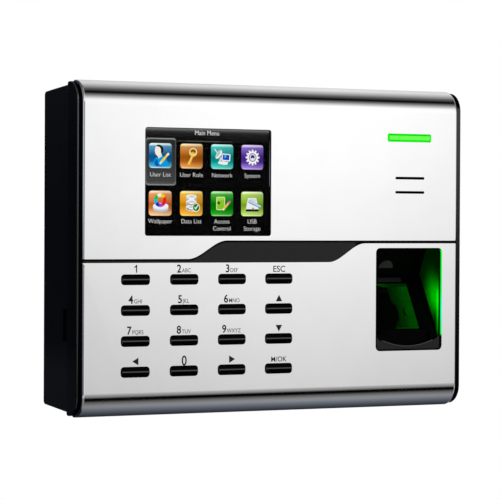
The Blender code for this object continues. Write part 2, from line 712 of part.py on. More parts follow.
def build_sensor():
    """Glass block, its light-tight case, lights, lens and camera board, all square to the floor."""
    half_x, half_z = GLASS_SIZE[0] / 2, GLASS_SIZE[1] / 2
    prism = tilt_to_floor(box((-half_x, 0.3 * MM, -half_z), (half_x, 9.0 * MM, half_z)))
    finish_part(prism, "sensor_prism", "optical_glass")

    wall = 1.1 * MM
    inner_x, inner_z = half_x + GAP, half_z + 0.2 * MM
    front, rear = 2.3 * MM, 16.0 * MM
    edge_x, edge_z = inner_x + wall, inner_z + wall
    case = tilt_to_floor(box((-edge_x, front, -edge_z), (edge_x, rear, edge_z)))
    cut(case, tilt_to_floor(box((-inner_x, front - 2 * MM, -inner_z), (inner_x, rear + 2 * MM, inner_z))))
    finish_part(case, "sensor_case", "black_case")

    lights = tilt_to_floor(box((-half_x, 9.9 * MM, -half_z), (half_x, 10.9 * MM, half_z)))
    cut(lights, tilt_to_floor(rod((0, 0), 4.4 * MM, 9 * MM, 12 * MM, FINE)))
    for side in (-1, 1):
        z = side * half_z * 0.7
        join(lights, tilt_to_floor(box((-3 * MM, 9.4 * MM, z - 1.5 * MM), (3 * MM, 10.4 * MM, z + 1.5 * MM))))
    finish_part(lights, "sensor_light_board", "circuit_board")

    finish_part(tilt_to_floor(rod((0, 0), 3.6 * MM, 11.4 * MM, 16.0 * MM, FINE)), "sensor_lens", "connector")
    board = box((-edge_x, rear + GAP, -edge_z), (edge_x, rear + GAP + 1.2 * MM, edge_z))
    finish_part(tilt_to_floor(board), "sensor_camera_board", "circuit_board")
    folded = [
        (28.7 * MM, -25.4 * MM),
        (30.6 * MM, -22.0 * MM),
        (31.2 * MM, -18 * MM),
        (31.2 * MM, -8 * MM),
        (26.0 * MM, 0.5 * MM),
        (23.6 * MM, 5 * MM),
        (23.6 * MM, 10 * MM),
    ]
    finish_part(strip(folded, 60 * MM, 68 * MM, RIBBON), "sensor_ribbon", "ribbon")


# ---------------------------------------------------------------- electronics
def build_main_board():
    board = box((-72 * MM, MAIN_BOARD_FRONT, 1.0 * MM), (72 * MM, MAIN_BOARD_BACK, 60 * MM))
    finish_part(board, "main_board", "circuit_board")
    chip = box((-22 * MM, ON_BOARD, 31 * MM), (-6 * MM, ON_BOARD + 1.4 * MM, 47 * MM))
    finish_part(chip, "processor", "connector")
    relay = box((50 * MM, ON_BOARD, 36 * MM), (60 * MM, ON_BOARD + 9.5 * MM, 52 * MM))
    finish_part(relay, "door_relay", "connector")
    coin_cell = rod((-50 * MM, 40 * MM), 10 * MM, ON_BOARD, ON_BOARD + 3.2 * MM, FINE)
    finish_part(coin_cell, "clock_battery", "plated_metal")


def build_connectors():
    mouth = CONNECTOR_FOOT
    ethernet = box((ETHERNET_X[0], ON_BOARD, mouth), (ETHERNET_X[1], CONNECTOR_REAR, 21.5 * MM))
    wall = 2.0 * MM
    front_corner = (ETHERNET_X[0] + wall, ON_BOARD + wall, mouth - 2 * MM)
    jack = box(front_corner, (ETHERNET_X[1] - wall, CONNECTOR_REAR - wall, 13 * MM))
    finish_part(cut(ethernet, jack), "ethernet_socket", "plated_metal")

    terminal = box((TERMINAL_X[0], ON_BOARD, mouth), (TERMINAL_X[1], CONNECTOR_REAR - 2 * MM, 12 * MM))
    ways = 5
    pitch = (TERMINAL_X[1] - TERMINAL_X[0]) / ways
    middle = (ON_BOARD + CONNECTOR_REAR) / 2
    for way in range(ways):
        x = TERMINAL_X[0] + pitch * (way + 0.5)
        half = pitch * 0.3
        cut(terminal, box((x - half, middle - 2.5 * MM, mouth - 2 * MM), (x + half, middle + 1 * MM, 8 * MM)))
    finish_part(terminal, "wire_terminal_block", "connector")

    power = box((POWER_X[0], ON_BOARD, mouth), (POWER_X[1], CONNECTOR_REAR, 14 * MM))
    centre_x = (POWER_X[0] + POWER_X[1]) / 2
    cut(power, upright_rod(centre_x, middle, 3.1 * MM, mouth - 2 * MM, 10 * MM, FINE))
    join(power, upright_rod(centre_x, middle, 1.0 * MM, mouth + 1.5 * MM, 11 * MM))
    finish_part(power, "power_socket", "connector")

    depth, z = USB_CENTRE
    half_d, half_z = USB_OPENING[0] / 2, USB_OPENING[1] / 2
    shell = 0.9 * MM
    left, right = USB_ENDS
    front_corner = (left, KEY_BOARD_DEPTH[1] + GAP, z - half_z - shell)
    socket = box(front_corner, (right, depth + half_d + shell, z + half_z + shell))
    throat = box((left - 2 * MM, depth - half_d, z - half_z), (right - 1.5 * MM, depth + half_d, z + half_z))
    finish_part(cut(socket, throat), "usb_socket", "plated_metal")


def build_battery():
    rear = HOUSING_REAR - HOUSING_WALL - GAP
    pack = box((-83 * MM, rear - 10 * MM, -48 * MM), (-55 * MM, rear, -2 * MM))
    bevel = pack.modifiers.new("soft edges", "BEVEL")
    bevel.width = 2.0 * MM
    bevel.segments = 2
    finish_part(pack, "backup_battery", "battery_wrap")


def coil_spring(centre, radius, wire, start, end, turns):
    """A round-wire compression spring along the depth, at centre (x, height)."""
    points_per_turn = 10
    curve = bpy.data.curves.new("spring", "CURVE")
    curve.dimensions = "3D"
    curve.bevel_depth = wire / 2
    curve.bevel_resolution = 0
    curve.use_fill_caps = True
    spline = curve.splines.new("POLY")
    count = turns * points_per_turn + 1
    spline.points.add(count - 1)
    first, last = start + wire / 2, end - wire / 2
    for i, point in enumerate(spline.points):
        angle = 2 * math.pi * i / points_per_turn
        depth = first + (last - first) * i / (count - 1)
        across, up = radius * math.cos(angle), radius * math.sin(angle)
        point.co = (centre[0] + across, FRONT_Y + depth, centre[1] + up, 1)
    obj = bpy.data.objects.new("spring", curve)
    bpy.context.scene.collection.objects.link(obj)
    bpy.context.view_layer.update()
    return curve_to_mesh(obj)


def build_tamper_switch():
    """A sprung plunger that the wall presses; lifting the terminal off lets it out."""
    x, z = TAMPER_PLACE
    half = 3.6 * MM
    floor = ON_BOARD + 0.8 * MM
    shoulder = 28.4 * MM  # the plunger's inner end
    case = box((x - half, ON_BOARD, z - half), (x + half, 31.0 * MM, z + half))
    cut(case, rod(TAMPER_PLACE, 1.9 * MM, floor, 33 * MM))
    finish_part(case, "tamper_switch", "connector")
    plunger = rod(TAMPER_PLACE, 1.5 * MM, shoulder, BODY_DEPTH - 0.2 * MM)
    finish_part(plunger, "tamper_plunger", "light_guide")
    spring = coil_spring(TAMPER_PLACE, 1.2 * MM, 0.35 * MM, floor + GAP, shoulder - GAP, 4)
    finish_part(spring, "tamper_spring", "plated_metal")


# ---------------------------------------------------------------- rear
def tapered_box(front, rear, half_front, half_rear, edge=0.0):
    """A box whose rear face is smaller, with every edge but those of the front face rounded."""
    shell = bmesh.new()
    bmesh.ops.create_cube(shell, size=2.0)
    for vert in shell.verts:
        at_rear = vert.co.y > 0
        half = half_rear if at_rear else half_front
        depth = rear if at_rear else front
        vert.co = (vert.co.x * half[0], FRONT_Y + depth, vert.co.z * half[1])
    if edge:
        at_front = FRONT_Y + front + 1e-6
        rounded = [e for e in shell.edges if any(v.co.y > at_front for v in e.verts)]
        bmesh.ops.bevel(shell, geom=rounded, offset=edge, segments=2, profile=0.5, affect="EDGES")
    mesh = bpy.data.meshes.new("tapered_box")
    shell.to_mesh(mesh)
    shell.free()
    obj = bpy.data.objects.new("tapered_box", mesh)
    bpy.context.scene.collection.objects.link(obj)
    return obj


def build_rear_housing():
    housing = tapered_box(HOUSING_FRONT, HOUSING_REAR, HOUSING_HALF_FRONT, HOUSING_HALF_REAR, HOUSING_EDGE)
    inside_front = HOUSING_FRONT - 2 * MM
    inside_rear = HOUSING_REAR - HOUSING_WALL
    wall = HOUSING_WALL
    half_front = (HOUSING_HALF_FRONT[0] - wall, HOUSING_HALF_FRONT[1] - wall)
    half_rear = (HOUSING_HALF_REAR[0] - wall, HOUSING_HALF_REAR[1] - wall)
    cut(housing, tapered_box(inside_front, inside_rear, half_front, half_rear))

    in_wall = HOUSING_REAR - 1 * MM
    past = HOUSING_REAR + 5 * MM
    outer = RECESS_HALF_WIDTH + wall
    front_corner = (-outer, RECESS_FLOOR - wall, RECESS_BOTTOM - wall)
    join(housing, box(front_corner, (outer, in_wall, RECESS_TOP + wall)))
    for x in (-CASE_SCREW_X, CASE_SCREW_X):
        for z in (-CASE_SCREW_Z, CASE_SCREW_Z):
            join(housing, rod((x, z), 3.9 * MM, HOUSING_FRONT + GAP, in_wall, FINE))
    for post in MAIN_BOARD_POSTS:
        join(housing, rod(post, 2.5 * MM, ON_BOARD, in_wall))
    boss = 5.0 * MM
    floor = -HOUSING_HALF_REAR[1]
    join(housing, box((-boss, SECURITY_DEPTH - 4 * MM, floor + 0.5 * MM), (boss, in_wall, floor + 8 * MM)))

    recess = RECESS_HALF_WIDTH
    cut(housing, box((-recess, RECESS_FLOOR, RECESS_BOTTOM), (recess, past, RECESS_TOP)))
    for x in (-CASE_SCREW_X, CASE_SCREW_X):
        for z in (-CASE_SCREW_Z, CASE_SCREW_Z):
            cut(housing, rod((x, z), SCREW_HOLE, HOUSING_FRONT - 2 * MM, HOUSING_REAR - 1.5 * MM))
            cut(housing, rod((x, z), SCREW_HEAD + 0.5 * MM, SCREW_SEAT, past, FINE))
    cut(housing, upright_rod(0, SECURITY_DEPTH, SCREW_HOLE, floor - 5 * MM, floor + 7 * MM))

    mouth = (RECESS_TOP - 1 * MM, RECESS_TOP + wall + 1 * MM)
    lip = 0.5 * MM
    for low_x, high_x in (ETHERNET_X, TERMINAL_X, POWER_X):
        front_corner = (low_x + lip, ON_BOARD + lip, mouth[0])
        cut(housing, box(front_corner, (high_x - lip, CONNECTOR_REAR - lip, mouth[1])))
    for x, z in HOOK_PLACES:
        half = HOOK_WIDTH / 2 + GAP
        low, high = z - LIFT - 0.5 * MM, z + BRACKET_THICKNESS + GAP
        cut(housing, box((x - half, inside_rear - 1 * MM, low), (x + half, past, high)))
    cut(housing, rod(TAMPER_PLACE, 1.9 * MM, inside_rear - 1 * MM, past, COARSE))

    depth, z = USB_CENTRE
    half_d, half_z = USB_OPENING[0] / 2, USB_OPENING[1] / 2 + 0.3 * MM
    cut(housing, box((-95 * MM, depth - half_d, z - half_z), (-82 * MM, depth + half_d, z + half_z)))
    finish_part(housing, "rear_housing", "black_case")


def build_wall_bracket():
    front = BODY_DEPTH - BRACKET_THICKNESS
    flange_low = FLANGE_TOP - BRACKET_THICKNESS
    half = BRACKET_HALF_WIDTH
    middle = (0, (BRACKET_TOP + flange_low) / 2)
    size = (2 * half, BRACKET_TOP - flange_low)
    bracket = front_outline([rounded_rectangle(middle, size, 4 * MM)], front, BODY_DEPTH)
    flange_half = 12 * MM
    flange_front = SECURITY_DEPTH - 5 * MM
    join(bracket, box((-flange_half, flange_front, flange_low), (flange_half, front + 0.5 * MM, FLANGE_TOP)))
    for x, z in HOOK_PLACES:
        side = HOOK_WIDTH / 2
        tip_front, tip_rear = HOOK_TIP_DEPTH
        hook = [
            (front + 0.5 * MM, z),
            (front + 0.5 * MM, z + BRACKET_THICKNESS),
            (tip_rear, z + BRACKET_THICKNESS),
            (tip_rear, z + LIFT - 1 * MM),
            (tip_front, z + LIFT - 1 * MM),
            (tip_front, z),
        ]
        join(bracket, side_outline(hook, x - side, x + side))
    past = BODY_DEPTH + 1 * MM
    cable = rounded_rectangle((0, -27 * MM), (56 * MM, 34 * MM), 3 * MM)
    slots = [rounded_rectangle((x, 24 * MM), WALL_SLOT, WALL_SLOT[1] / 2) for x in WALL_SLOT_X]
    cut(bracket, front_outline([cable, *slots], front - 1 * MM, past))
    for place in WALL_SCREW_PLACES:
        cut(bracket, rod(place, WALL_SCREW_HOLE, front - 1 * MM, past, FINE))
    cut(bracket, upright_rod(0, SECURITY_DEPTH, SCREW_HOLE, flange_low - 1 * MM, FLANGE_TOP + 1 * MM))
    finish_part(bracket, "wall_bracket", "zinc_steel")


def build_screws():
    number = 1
    for x in (-CASE_SCREW_X, CASE_SCREW_X):
        for z in (-CASE_SCREW_Z, CASE_SCREW_Z):
            screw = rod((x, z), SCREW_RADIUS, FRAME_BACK + 1.5 * MM, SCREW_SEAT + 1 * MM)
            join(screw, rod((x, z), SCREW_HEAD, SCREW_SEAT + GAP, SCREW_SEAT + 2.3 * MM, FINE))
            slot = (2.0 * MM, 0.4 * MM)
            front_corner = (x - slot[0], SCREW_SEAT + 1.5 * MM, z - slot[1])
            cut(screw, box(front_corner, (x + slot[0], SCREW_SEAT + 5 * MM, z + slot[1])))
            finish_part(screw, f"case_screw_{number}", "plated_metal")
            number += 1

    under = FLANGE_TOP - BRACKET_THICKNESS - GAP
    head = upright_rod(0, SECURITY_DEPTH, 3.1 * MM, under - 1.7 * MM, under, FINE)
    join(head, upright_rod(0, SECURITY_DEPTH, SCREW_RADIUS, under - 0.5 * MM, under + 9.0 * MM))
    finish_part(head, "security_screw", "plated_metal")


def main():
    clear_scene()
    build_front_panels()
    build_trim_band()
    build_front_frame()
    build_display()
    build_indicator()
    build_speaker()
    build_keys()
    build_key_mat_and_board()
    build_finger_well()
    build_sensor()
    build_main_board()
    build_connectors()
    build_battery()
    build_tamper_switch()
    build_rear_housing()
    build_wall_bracket()
    build_screws()


main()
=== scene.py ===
"""Looks of the wall-mounted fingerprint terminal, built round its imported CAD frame.

Metres, with +X to the viewer's right, +Z up and +Y towards the wall. A depth is a distance behind
the front face, towards the wall, as in the CAD. Sizes below are in millimetres where a name or a
comment says so, and are turned into metres where a mesh is made.
"""

import functools
import math

import bmesh
import bpy
from mathutils import Matrix, Vector


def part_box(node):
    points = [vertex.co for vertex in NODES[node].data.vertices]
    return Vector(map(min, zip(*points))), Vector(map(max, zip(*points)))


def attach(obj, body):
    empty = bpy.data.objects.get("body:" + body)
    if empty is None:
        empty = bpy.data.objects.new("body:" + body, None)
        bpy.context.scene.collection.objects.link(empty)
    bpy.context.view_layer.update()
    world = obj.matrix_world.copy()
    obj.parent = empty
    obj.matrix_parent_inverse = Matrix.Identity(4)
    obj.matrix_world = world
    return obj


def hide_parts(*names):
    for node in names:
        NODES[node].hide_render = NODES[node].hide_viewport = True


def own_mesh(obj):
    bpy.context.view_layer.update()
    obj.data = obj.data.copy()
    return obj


MM = 0.001
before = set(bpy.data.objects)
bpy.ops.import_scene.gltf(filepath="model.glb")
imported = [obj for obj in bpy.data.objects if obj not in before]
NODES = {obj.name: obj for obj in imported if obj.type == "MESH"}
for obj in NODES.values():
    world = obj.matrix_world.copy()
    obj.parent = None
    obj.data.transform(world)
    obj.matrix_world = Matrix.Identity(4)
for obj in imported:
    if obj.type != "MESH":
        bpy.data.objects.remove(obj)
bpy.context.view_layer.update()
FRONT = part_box("front_panel_upper")[0].y  # the sheets' front face
TERMINAL = "terminal"


# ---- colours and node trees
def screen(red, green, blue):
    """Linear colour of a screen colour given from 0 to 255."""
    shares = (value / 255 for value in (red, green, blue))
    return tuple(s / 12.92 if s <= 0.04045 else ((s + 0.055) / 1.055) ** 2.4 for s in shares)


def greys(*stops):
    """Stops of grey from (place, value) pairs."""
    return [(place, (value, value, value)) for place, value in stops]


class Tree:
    """A short way to write a node tree."""

    def __init__(self, owner):
        owner.use_nodes = True
        self.nodes, self.links = owner.node_tree.nodes, owner.node_tree.links
        self.nodes.clear()

    def feed(self, inlet, value):
        if isinstance(value, bpy.types.NodeSocket):
            self.links.new(value, inlet)
        elif inlet.type == "RGBA" and len(value) == 3:
            inlet.default_value = (*value, 1.0)
        else:
            inlet.default_value = value

    def add(self, kind, inputs=(), **settings):
        node = self.nodes.new("ShaderNode" + kind)
        for key, value in settings.items():
            setattr(node, key, value)
        for key, value in dict(inputs).items():
            self.feed(node.inputs[key], value)
        return node

    def math(self, operation, *values, clamp=False):
        node = self.add("Math", operation=operation, use_clamp=clamp)
        for inlet, value in zip(node.inputs, values):
            self.feed(inlet, value)
        return node.outputs[0]

    def mix(self, share, first, second, how="MIX"):
        node = self.add("Mix", data_type="RGBA", blend_type=how)
        self.feed(node.inputs["Factor"], share)
        self.feed(next(i for i in node.inputs if i.identifier == "A_Color"), first)
        self.feed(next(i for i in node.inputs if i.identifier == "B_Color"), second)
        return next(o for o in node.outputs if o.identifier == "Result_Color")

    def product(self, *values):
        """Several values multiplied, from the first to the last."""
        return functools.reduce(lambda total, value: self.math("MULTIPLY", total, value), values)

    def tint(self, colour, other):
        """Two colours multiplied."""
        return self.mix(1.0, colour, other, "MULTIPLY")

    def grey(self, value):
        return self.add("CombineColor", dict.fromkeys(("Red", "Green", "Blue"), value)).outputs[0]

    def split(self, vector):
        return self.add("SeparateXYZ", {"Vector": vector}).outputs

    def facing(self):
        """The parts of the surface's direction, under X, Y and Z."""
        return self.split(self.add("NewGeometry").outputs["Normal"])

    def noise(self, where, size, detail=2.0):
        """Cloudy pattern from 0 to 1 whose features are about one size across."""
        return self.add("TexNoise", {"Vector": where, "Scale": 1 / size, "Detail": detail}).outputs[0]

    def span(self, value, low, high, to_low=0.0, to_high=1.0):
        """A value carried from one range to another, smoothly and without leaving it."""
        inputs = {"Value": value, "From Min": low, "From Max": high, "To Min": to_low, "To Max": to_high}
        return self.add("MapRange", inputs, interpolation_type="SMOOTHSTEP").outputs[0]

    def ramp(self, share, stops):
        """Colours laid along a share from 0 to 1."""
        node = self.add("ValToRGB", {"Fac": share})
        marks = node.color_ramp.elements
        while len(marks) < len(stops):
            marks.new(0.5)
        for mark, (place, _) in zip(marks, stops):
            mark.position = place
        for mark, (_, colour) in zip(marks, stops):
            mark.color = (*colour, 1.0)
        return node.outputs[0]

    def place(self):
        """(vector, x, y, z) of the shaded point, in metres, in its object's own frame."""
        where = self.add("TexCoord").outputs["Object"]
        return (where, *self.split(where))


# ---- materials
def finish(name, colour, roughness, metallic=0.0, specular=0.5, grain=0.25, relief=0.004, mottle=0.08,
           patch=14.0, light=None, cover=1.0, shade=None):
    """A finish with uneven tone and gloss over a fine grain. Sizes in mm.

    light, where given, is a function of the tree that returns what the surface gives off; on the well's right
    wall and the sheet's cut edge beside it, that is painted light.
    cover is how much of what lies behind is hidden. specular may be such a function too.
    shade, where given, is such a function for a share by which the colour is multiplied, which paints shade.
    """
    material = bpy.data.materials.new(name)
    tree = Tree(material)
    where = tree.place()[0]
    cloud = tree.noise(where, patch * MM, 3.0)
    fine = tree.noise(where, grain * MM, 3.0)
    unevenness = tree.math("ADD", tree.product(cloud, 0.6), tree.product(fine, 0.4))
    darker = tuple(c * (1 - mottle) for c in colour)
    lighter = tuple(min(1.0, c * (1 + mottle)) for c in colour)
    tone = tree.mix(tree.span(unevenness, 0.3, 0.7), darker, lighter)
    if shade:
        tone = tree.mix(shade(tree), (0.0, 0.0, 0.0), tone)
    gloss = tree.span(cloud, 0.25, 0.75, roughness * 0.88, min(1.0, roughness * 1.12))
    bump = tree.add("Bump", {"Height": fine, "Strength": 0.6, "Distance": relief * MM})
    inputs = {
        "Base Color": tone,
        "Roughness": gloss,
        "Metallic": metallic,
        "Specular IOR Level": specular(tree) if callable(specular) else specular,
        "Alpha": cover,
        "Normal": bump.outputs["Normal"],
    }
    if light:
        inputs["Emission Color"] = light(tree)
        inputs["Emission Strength"] = 1.0
    shader = tree.add("BsdfPrincipled", inputs)
    output = tree.add("OutputMaterial")
    tree.links.new(shader.outputs[0], output.inputs["Surface"])
    return material


def bell(tree, *terms):
    """exp(-r2) where r2 adds ((value - middle) / reach) squared over (value, middle, reach) in mm."""
    total = 0.0
    for value, middle, reach in terms:
        step = tree.math("MULTIPLY_ADD", value, 1 / (reach * MM), -middle / reach)
        total = tree.math("ADD", tree.product(step, step), total)
    return tree.math("POWER", math.e, tree.product(total, -1.0))


def depth_of(tree, y):
    """Depth behind the front face, in metres."""
    return tree.math("SUBTRACT", y, FRONT)


BLACK = (0.0, 0.0, 0.0)
# x of the finger well's middle, of its right wall and of the sheet's cut edge beside it, in mm.
WELL_X = 64.1
WELL_RIGHT = 79.95
SHEET_EDGE_X = 80.55
# Painted spots of light on the right wall: power, then middle and reach in depth, then middle and reach in
# height, mm.
PAINTED_WELL_LIGHT_SPOTS = ((0.62, 1.0, 6.2, -21.0, 5.2), (0.54, 2.3, 0.75, -26.0, 7.5), (0.13, 7.0, 4.0, -16.5, 5.5))


def painted_well_light(tree):
    """Painted light: green emission laid on the well's right wall where the sensor's light falls on it."""
    where, x, y, z = tree.place()
    depth = depth_of(tree, y)
    total = 0.008
    for power, middle, reach, height, spread in PAINTED_WELL_LIGHT_SPOTS:
        near = bell(tree, (depth, middle, reach), (z, height, spread))
        total = tree.math("MULTIPLY_ADD", near, power, total)
    streaks = tree.add("TexNoise", {"Vector": where, "Scale": 420.0, "Detail": 4.0, "Roughness": 0.7})
    uneven = tree.span(streaks.outputs[0], 0.2, 0.8, 0.75, 1.15)
    on_wall = tree.span(x, (WELL_RIGHT - 0.35) * MM, (WELL_RIGHT - 0.1) * MM)
    inside = tree.span(x, (WELL_RIGHT + 0.5) * MM, (WELL_RIGHT + 0.3) * MM)
    in_front = tree.span(depth, 1.4 * MM, 1.9 * MM)
    # glow is the share of painted green light on the wall, not light that the wall gives off.
    glow = tree.product(total, uneven, on_wall, inside, in_front)
    return tree.mix(glow, BLACK, (0.0, 1.0, 0.0))


def painted_edge_light(tree):
    """Painted light: the same green emission on the cut edge of the sheet, right of the well."""
    _, x, _, z = tree.place()
    towards_well = tree.span(tree.facing()["X"], -0.45, -0.75)
    at_edge = tree.span(x, (SHEET_EDGE_X - 0.6) * MM, (SHEET_EDGE_X - 0.3) * MM)
    past_edge = tree.span(x, (SHEET_EDGE_X + 0.6) * MM, (SHEET_EDGE_X + 0.3) * MM)
    low = tree.span(z, -37.2 * MM, -35.8 * MM)
    high = tree.span(z, 0.2 * MM, -1.0 * MM)
    share = tree.product(towards_well, at_edge, past_edge, low, high)
    colour = tree.mix(bell(tree, (z, -26.0, 6.0)), (0.0, 0.92, 0.03), (0.0, 1.0, 0.4))
    return tree.mix(share, BLACK, colour)


def end_shade(tree):
    """Painted shade: the sheets' rounded left ends are made darker where they follow the bottom bend."""
    facing = tree.facing()
    to_left = tree.span(facing["X"], -0.06, -0.16)
    down = tree.span(facing["Z"], -0.02, -0.1)
    return tree.math("SUBTRACT", 1.0, tree.product(to_left, down, 0.72))


def by_height(tree, *stops):
    """A value that changes with height, from (height in mm, value) stops."""
    z = tree.place()[3]
    share = tree.math("MULTIPLY_ADD", z, 1 / (140 * MM), 0.5, clamp=True)
    return tree.ramp(share, greys(*((height / 140 + 0.5, value) for height, value in stops)))


def between(tree, share, first, second):
    """A value that goes from the first to the second as the share goes from 0 to 1."""
    return tree.math("MULTIPLY_ADD", tree.math("SUBTRACT", second, first), share, first)


def housing_gloss(tree):
    """Gloss of the rear housing, least half way down."""
    return by_height(tree, (-66, 0.5), (-50, 0.55), (-38, 0.12), (0, 0.1), (40, 0.19), (64, 0.32))


def cheek_gloss(tree):
    """Gloss of the frame: its cheeks have polished outer edges and fade towards the bottom."""
    x, facing = tree.place()[1], tree.facing()
    turned = tree.math("ABSOLUTE", facing["X"])
    level = tree.span(tree.math("ABSOLUTE", facing["Z"]), 0.3, 0.05)
    on_right = tree.span(x, 0.0, 1.0 * MM)
    side = by_height(tree, (-66, 0.45), (-50, 0.4), (-38, 0.1), (0, 0.1), (40, 0.1), (64, 0.26))
    right_front = by_height(tree, (-57, 0.02), (-36, 0.05), (-2, 0.21), (41, 0.65), (57, 0.75))
    left_edge = tree.product(by_height(tree, (-60, 0.2), (-36, 0.5), (0, 0.65), (60, 1.0)), 2.4)
    front = tree.product(right_front, on_right, level)
    edge = between(tree, on_right, left_edge, tree.product(front, 0.35))
    value = between(tree, tree.span(turned, 0.12, 0.3), front, edge)
    return between(tree, tree.span(turned, 0.86, 0.97), value, side)


def ridge_polish(tree):
    """Gloss of a key: polished along its ridge, dull on its slopes."""
    return tree.span(tree.math("ABSOLUTE", tree.facing()["Z"]), 0.26, 0.18, 0.03, 1.0)


def indicator_glow(tree):
    """A pale core inside a saturated border, brightest on the outer face."""
    where, x, y, z = tree.place()
    low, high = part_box("indicator_light_guide")
    middle = (low + high) / 2
    border, soft = 0.72 * MM, 0.1 * MM
    from_edge = []
    for value, centre, half in ((x, middle.x, 10.65 * MM), (z, middle.z, 1.5 * MM)):
        away = tree.math("ABSOLUTE", tree.math("SUBTRACT", value, centre))
        from_edge.append(tree.math("SUBTRACT", half, away))
    share = tree.span(tree.math("MINIMUM", *from_edge), border - soft, border + soft)
    dots = tree.noise(where, 1.6 * MM, 1.0)
    core = tree.mix(tree.span(dots, 0.3, 0.7), screen(102, 250, 72), screen(118, 255, 96))
    lit = tree.mix(share, screen(0, 236, 0), core)
    at_face = tree.span(depth_of(tree, y), 3.0 * MM, 0.5 * MM, 0.15, 1.0)
    return tree.mix(at_face, (0.0, 0.02, 0.0), lit)


def glass_glow(low, high, left, right):
    """Green light under the finger glass that grows from left to right, with fine smears on it."""

    def light(tree):
        where, x, *_ = tree.place()
        smears = tree.add("Mapping", {"Vector": where, "Scale": (1.0, 0.35, 0.35)}).outputs[0]
        marks = tree.span(tree.noise(smears, 0.9 * MM, 5.0), 0.25, 0.75, 0.72, 1.2)
        colour = tree.mix(tree.span(x, left * MM, right * MM), low, high)
        return tree.tint(colour, tree.grey(marks))

    return light


# The silver sheets carry painted green light on the cut edge by the well, and painted shade on their rounded
# left ends.
SILVER = finish("satin_silver", (0.96, 0.96, 0.96), 0.09, 1.0, grain=0.35, relief=0.0016, mottle=0.02,
                light=painted_edge_light, shade=end_shade)
CASE = finish("moulded_black", (0.0018, 0.002, 0.0032), 0.45, specular=housing_gloss, grain=0.3, relief=0.006)
FRAME = finish("frame_black", (0.0006, 0.0006, 0.0008), 0.22, specular=cheek_gloss, grain=0.3, relief=0.003)
# The well's right wall carries painted green light, given off as emission.
WELL = finish("well_black", (0.0008, 0.0008, 0.0008), 0.3, specular=0.02, grain=0.3, relief=0.003,
              light=painted_well_light)
TRIM_EDGE = finish("trim_black", (0.001, 0.001, 0.001), 0.4, specular=0.05, grain=0.2, relief=0.002)
TRIM = finish("trim_grey", (0.011, 0.011, 0.011), 0.3, specular=0.25, grain=0.2, relief=0.003, mottle=0.12)
KEY = finish("key_black", (0.001, 0.001, 0.0013), 0.16, specular=ridge_polish, grain=0.2, relief=0.002)
WINDOW = finish("window_clear", (0.004, 0.005, 0.006), 0.06, grain=3.0, relief=0.0002, cover=0.03)
PANEL = finish("panel_black", (0.0004, 0.0004, 0.0005), 0.4, specular=0.01, grain=0.18, relief=0.001)
GUIDE = finish("guide_green", (0.0, 0.1, 0.0), 0.3, specular=0.02, grain=0.4, relief=0.002,
               light=indicator_glow)
GLASS = finish("sensor_glass", (0.0008, 0.002, 0.0008), 0.08, specular=0.08, grain=1.2, relief=0.0004)
PLUNGER = finish("plunger_white", (0.75, 0.75, 0.72), 0.4, grain=0.3, relief=0.003)
RUBBER = finish("grey_silicone", (0.28, 0.28, 0.28), 0.7, specular=0.3, grain=0.15, relief=0.006, mottle=0.1)
BOARD = finish("green_board", (0.012, 0.09, 0.03), 0.4, grain=0.4, relief=0.01, mottle=0.25, patch=3.0)
PLASTIC = finish("connector_black", (0.012, 0.012, 0.013), 0.5, grain=0.2, relief=0.006, mottle=0.12)
PLATED = finish("nickel_plate", (0.72, 0.71, 0.68), 0.28, 1.0, grain=0.3, patch=4.0)
ZINC = finish("zinc_plate", (0.58, 0.60, 0.62), 0.38, 1.0, grain=0.8, relief=0.008, mottle=0.16, patch=5.0)
GOLD = finish("gold_contact", (0.85, 0.6, 0.22), 0.25, 1.0, grain=0.1, relief=0.002, mottle=0.06, patch=1.0)
PAPER = finish("cone_paper", (0.02, 0.02, 0.021), 0.85, specular=0.2, grain=0.35, relief=0.03, mottle=0.3)
FILM = finish("polyimide_film", (0.55, 0.28, 0.06), 0.3, grain=0.5, relief=0.002, mottle=0.12, patch=2.0)
WRAP = finish("blue_wrap", (0.02, 0.08, 0.3), 0.35, grain=1.2, relief=0.01, mottle=0.12)


def ink(name, colour, mottle=0.12):
    return finish(name, colour, 0.6, specular=0.2, grain=0.12, relief=0.002, mottle=mottle, patch=1.0)


INK = ink("dark_ink", screen(28, 29, 34), 0.15)
PALE_INK = ink("pale_ink", screen(88, 89, 94))
ARROW_INK = ink("arrow_ink", screen(30, 32, 44))

FINISHES = {
    SILVER: ("front_panel_upper", "front_panel_lower"),
    FRAME: ("front_frame",),
    CASE: ("rear_housing", "sensor_case"),
    WELL: ("finger_well",),
    TRIM_EDGE: ("trim_band",),
    WINDOW: ("display_window",),
    PANEL: ("display_panel",),
    GUIDE: ("indicator_light_guide",),
    GLASS: ("sensor_prism",),
    PLUNGER: ("tamper_plunger", "indicator_led"),
    RUBBER: ("key_mat",),
    BOARD: ("main_board", "key_board", "indicator_board", "sensor_light_board", "sensor_camera_board"),
    PLASTIC: (
        "wire_terminal_block", "power_socket", "processor", "door_relay", "sensor_lens", "tamper_switch",
    ),
    PLATED: (
        "ethernet_socket", "usb_socket", "clock_battery", "display_backlight", "security_screw",
        "tamper_spring",
    ),
    ZINC: ("wall_bracket",),
    PAPER: ("speaker_cone",),
    FILM: ("display_ribbon", "keypad_ribbon", "sensor_ribbon"),
    WRAP: ("backup_battery",),
}
KEYS = {name for name in NODES if name.startswith("key_")} - {"key_mat", "key_board"}
EDGE_RADIUS = {  # mm of rounding on a node's sharp edges
    "front_panel_upper": 0.06,
    "front_panel_lower": 0.06,
    "front_frame": 0.3,
    "rear_housing": 0.25,
    "finger_well": 0.2,
    "wall_bracket": 0.2,
    "display_window": 0.05,
    "trim_band": 0.06,
    "indicator_light_guide": 0.1,
}
KEY_EDGE_RADIUS, OTHER_EDGE_RADIUS = 0.25, 0.12


# ---- CAD nodes
SHEET_END_ROUNDING = 0.9  # mm
BEND = 9.0  # mm, the sheets' bend radius
BEND_START_ROUNDING = 0.8  # mm


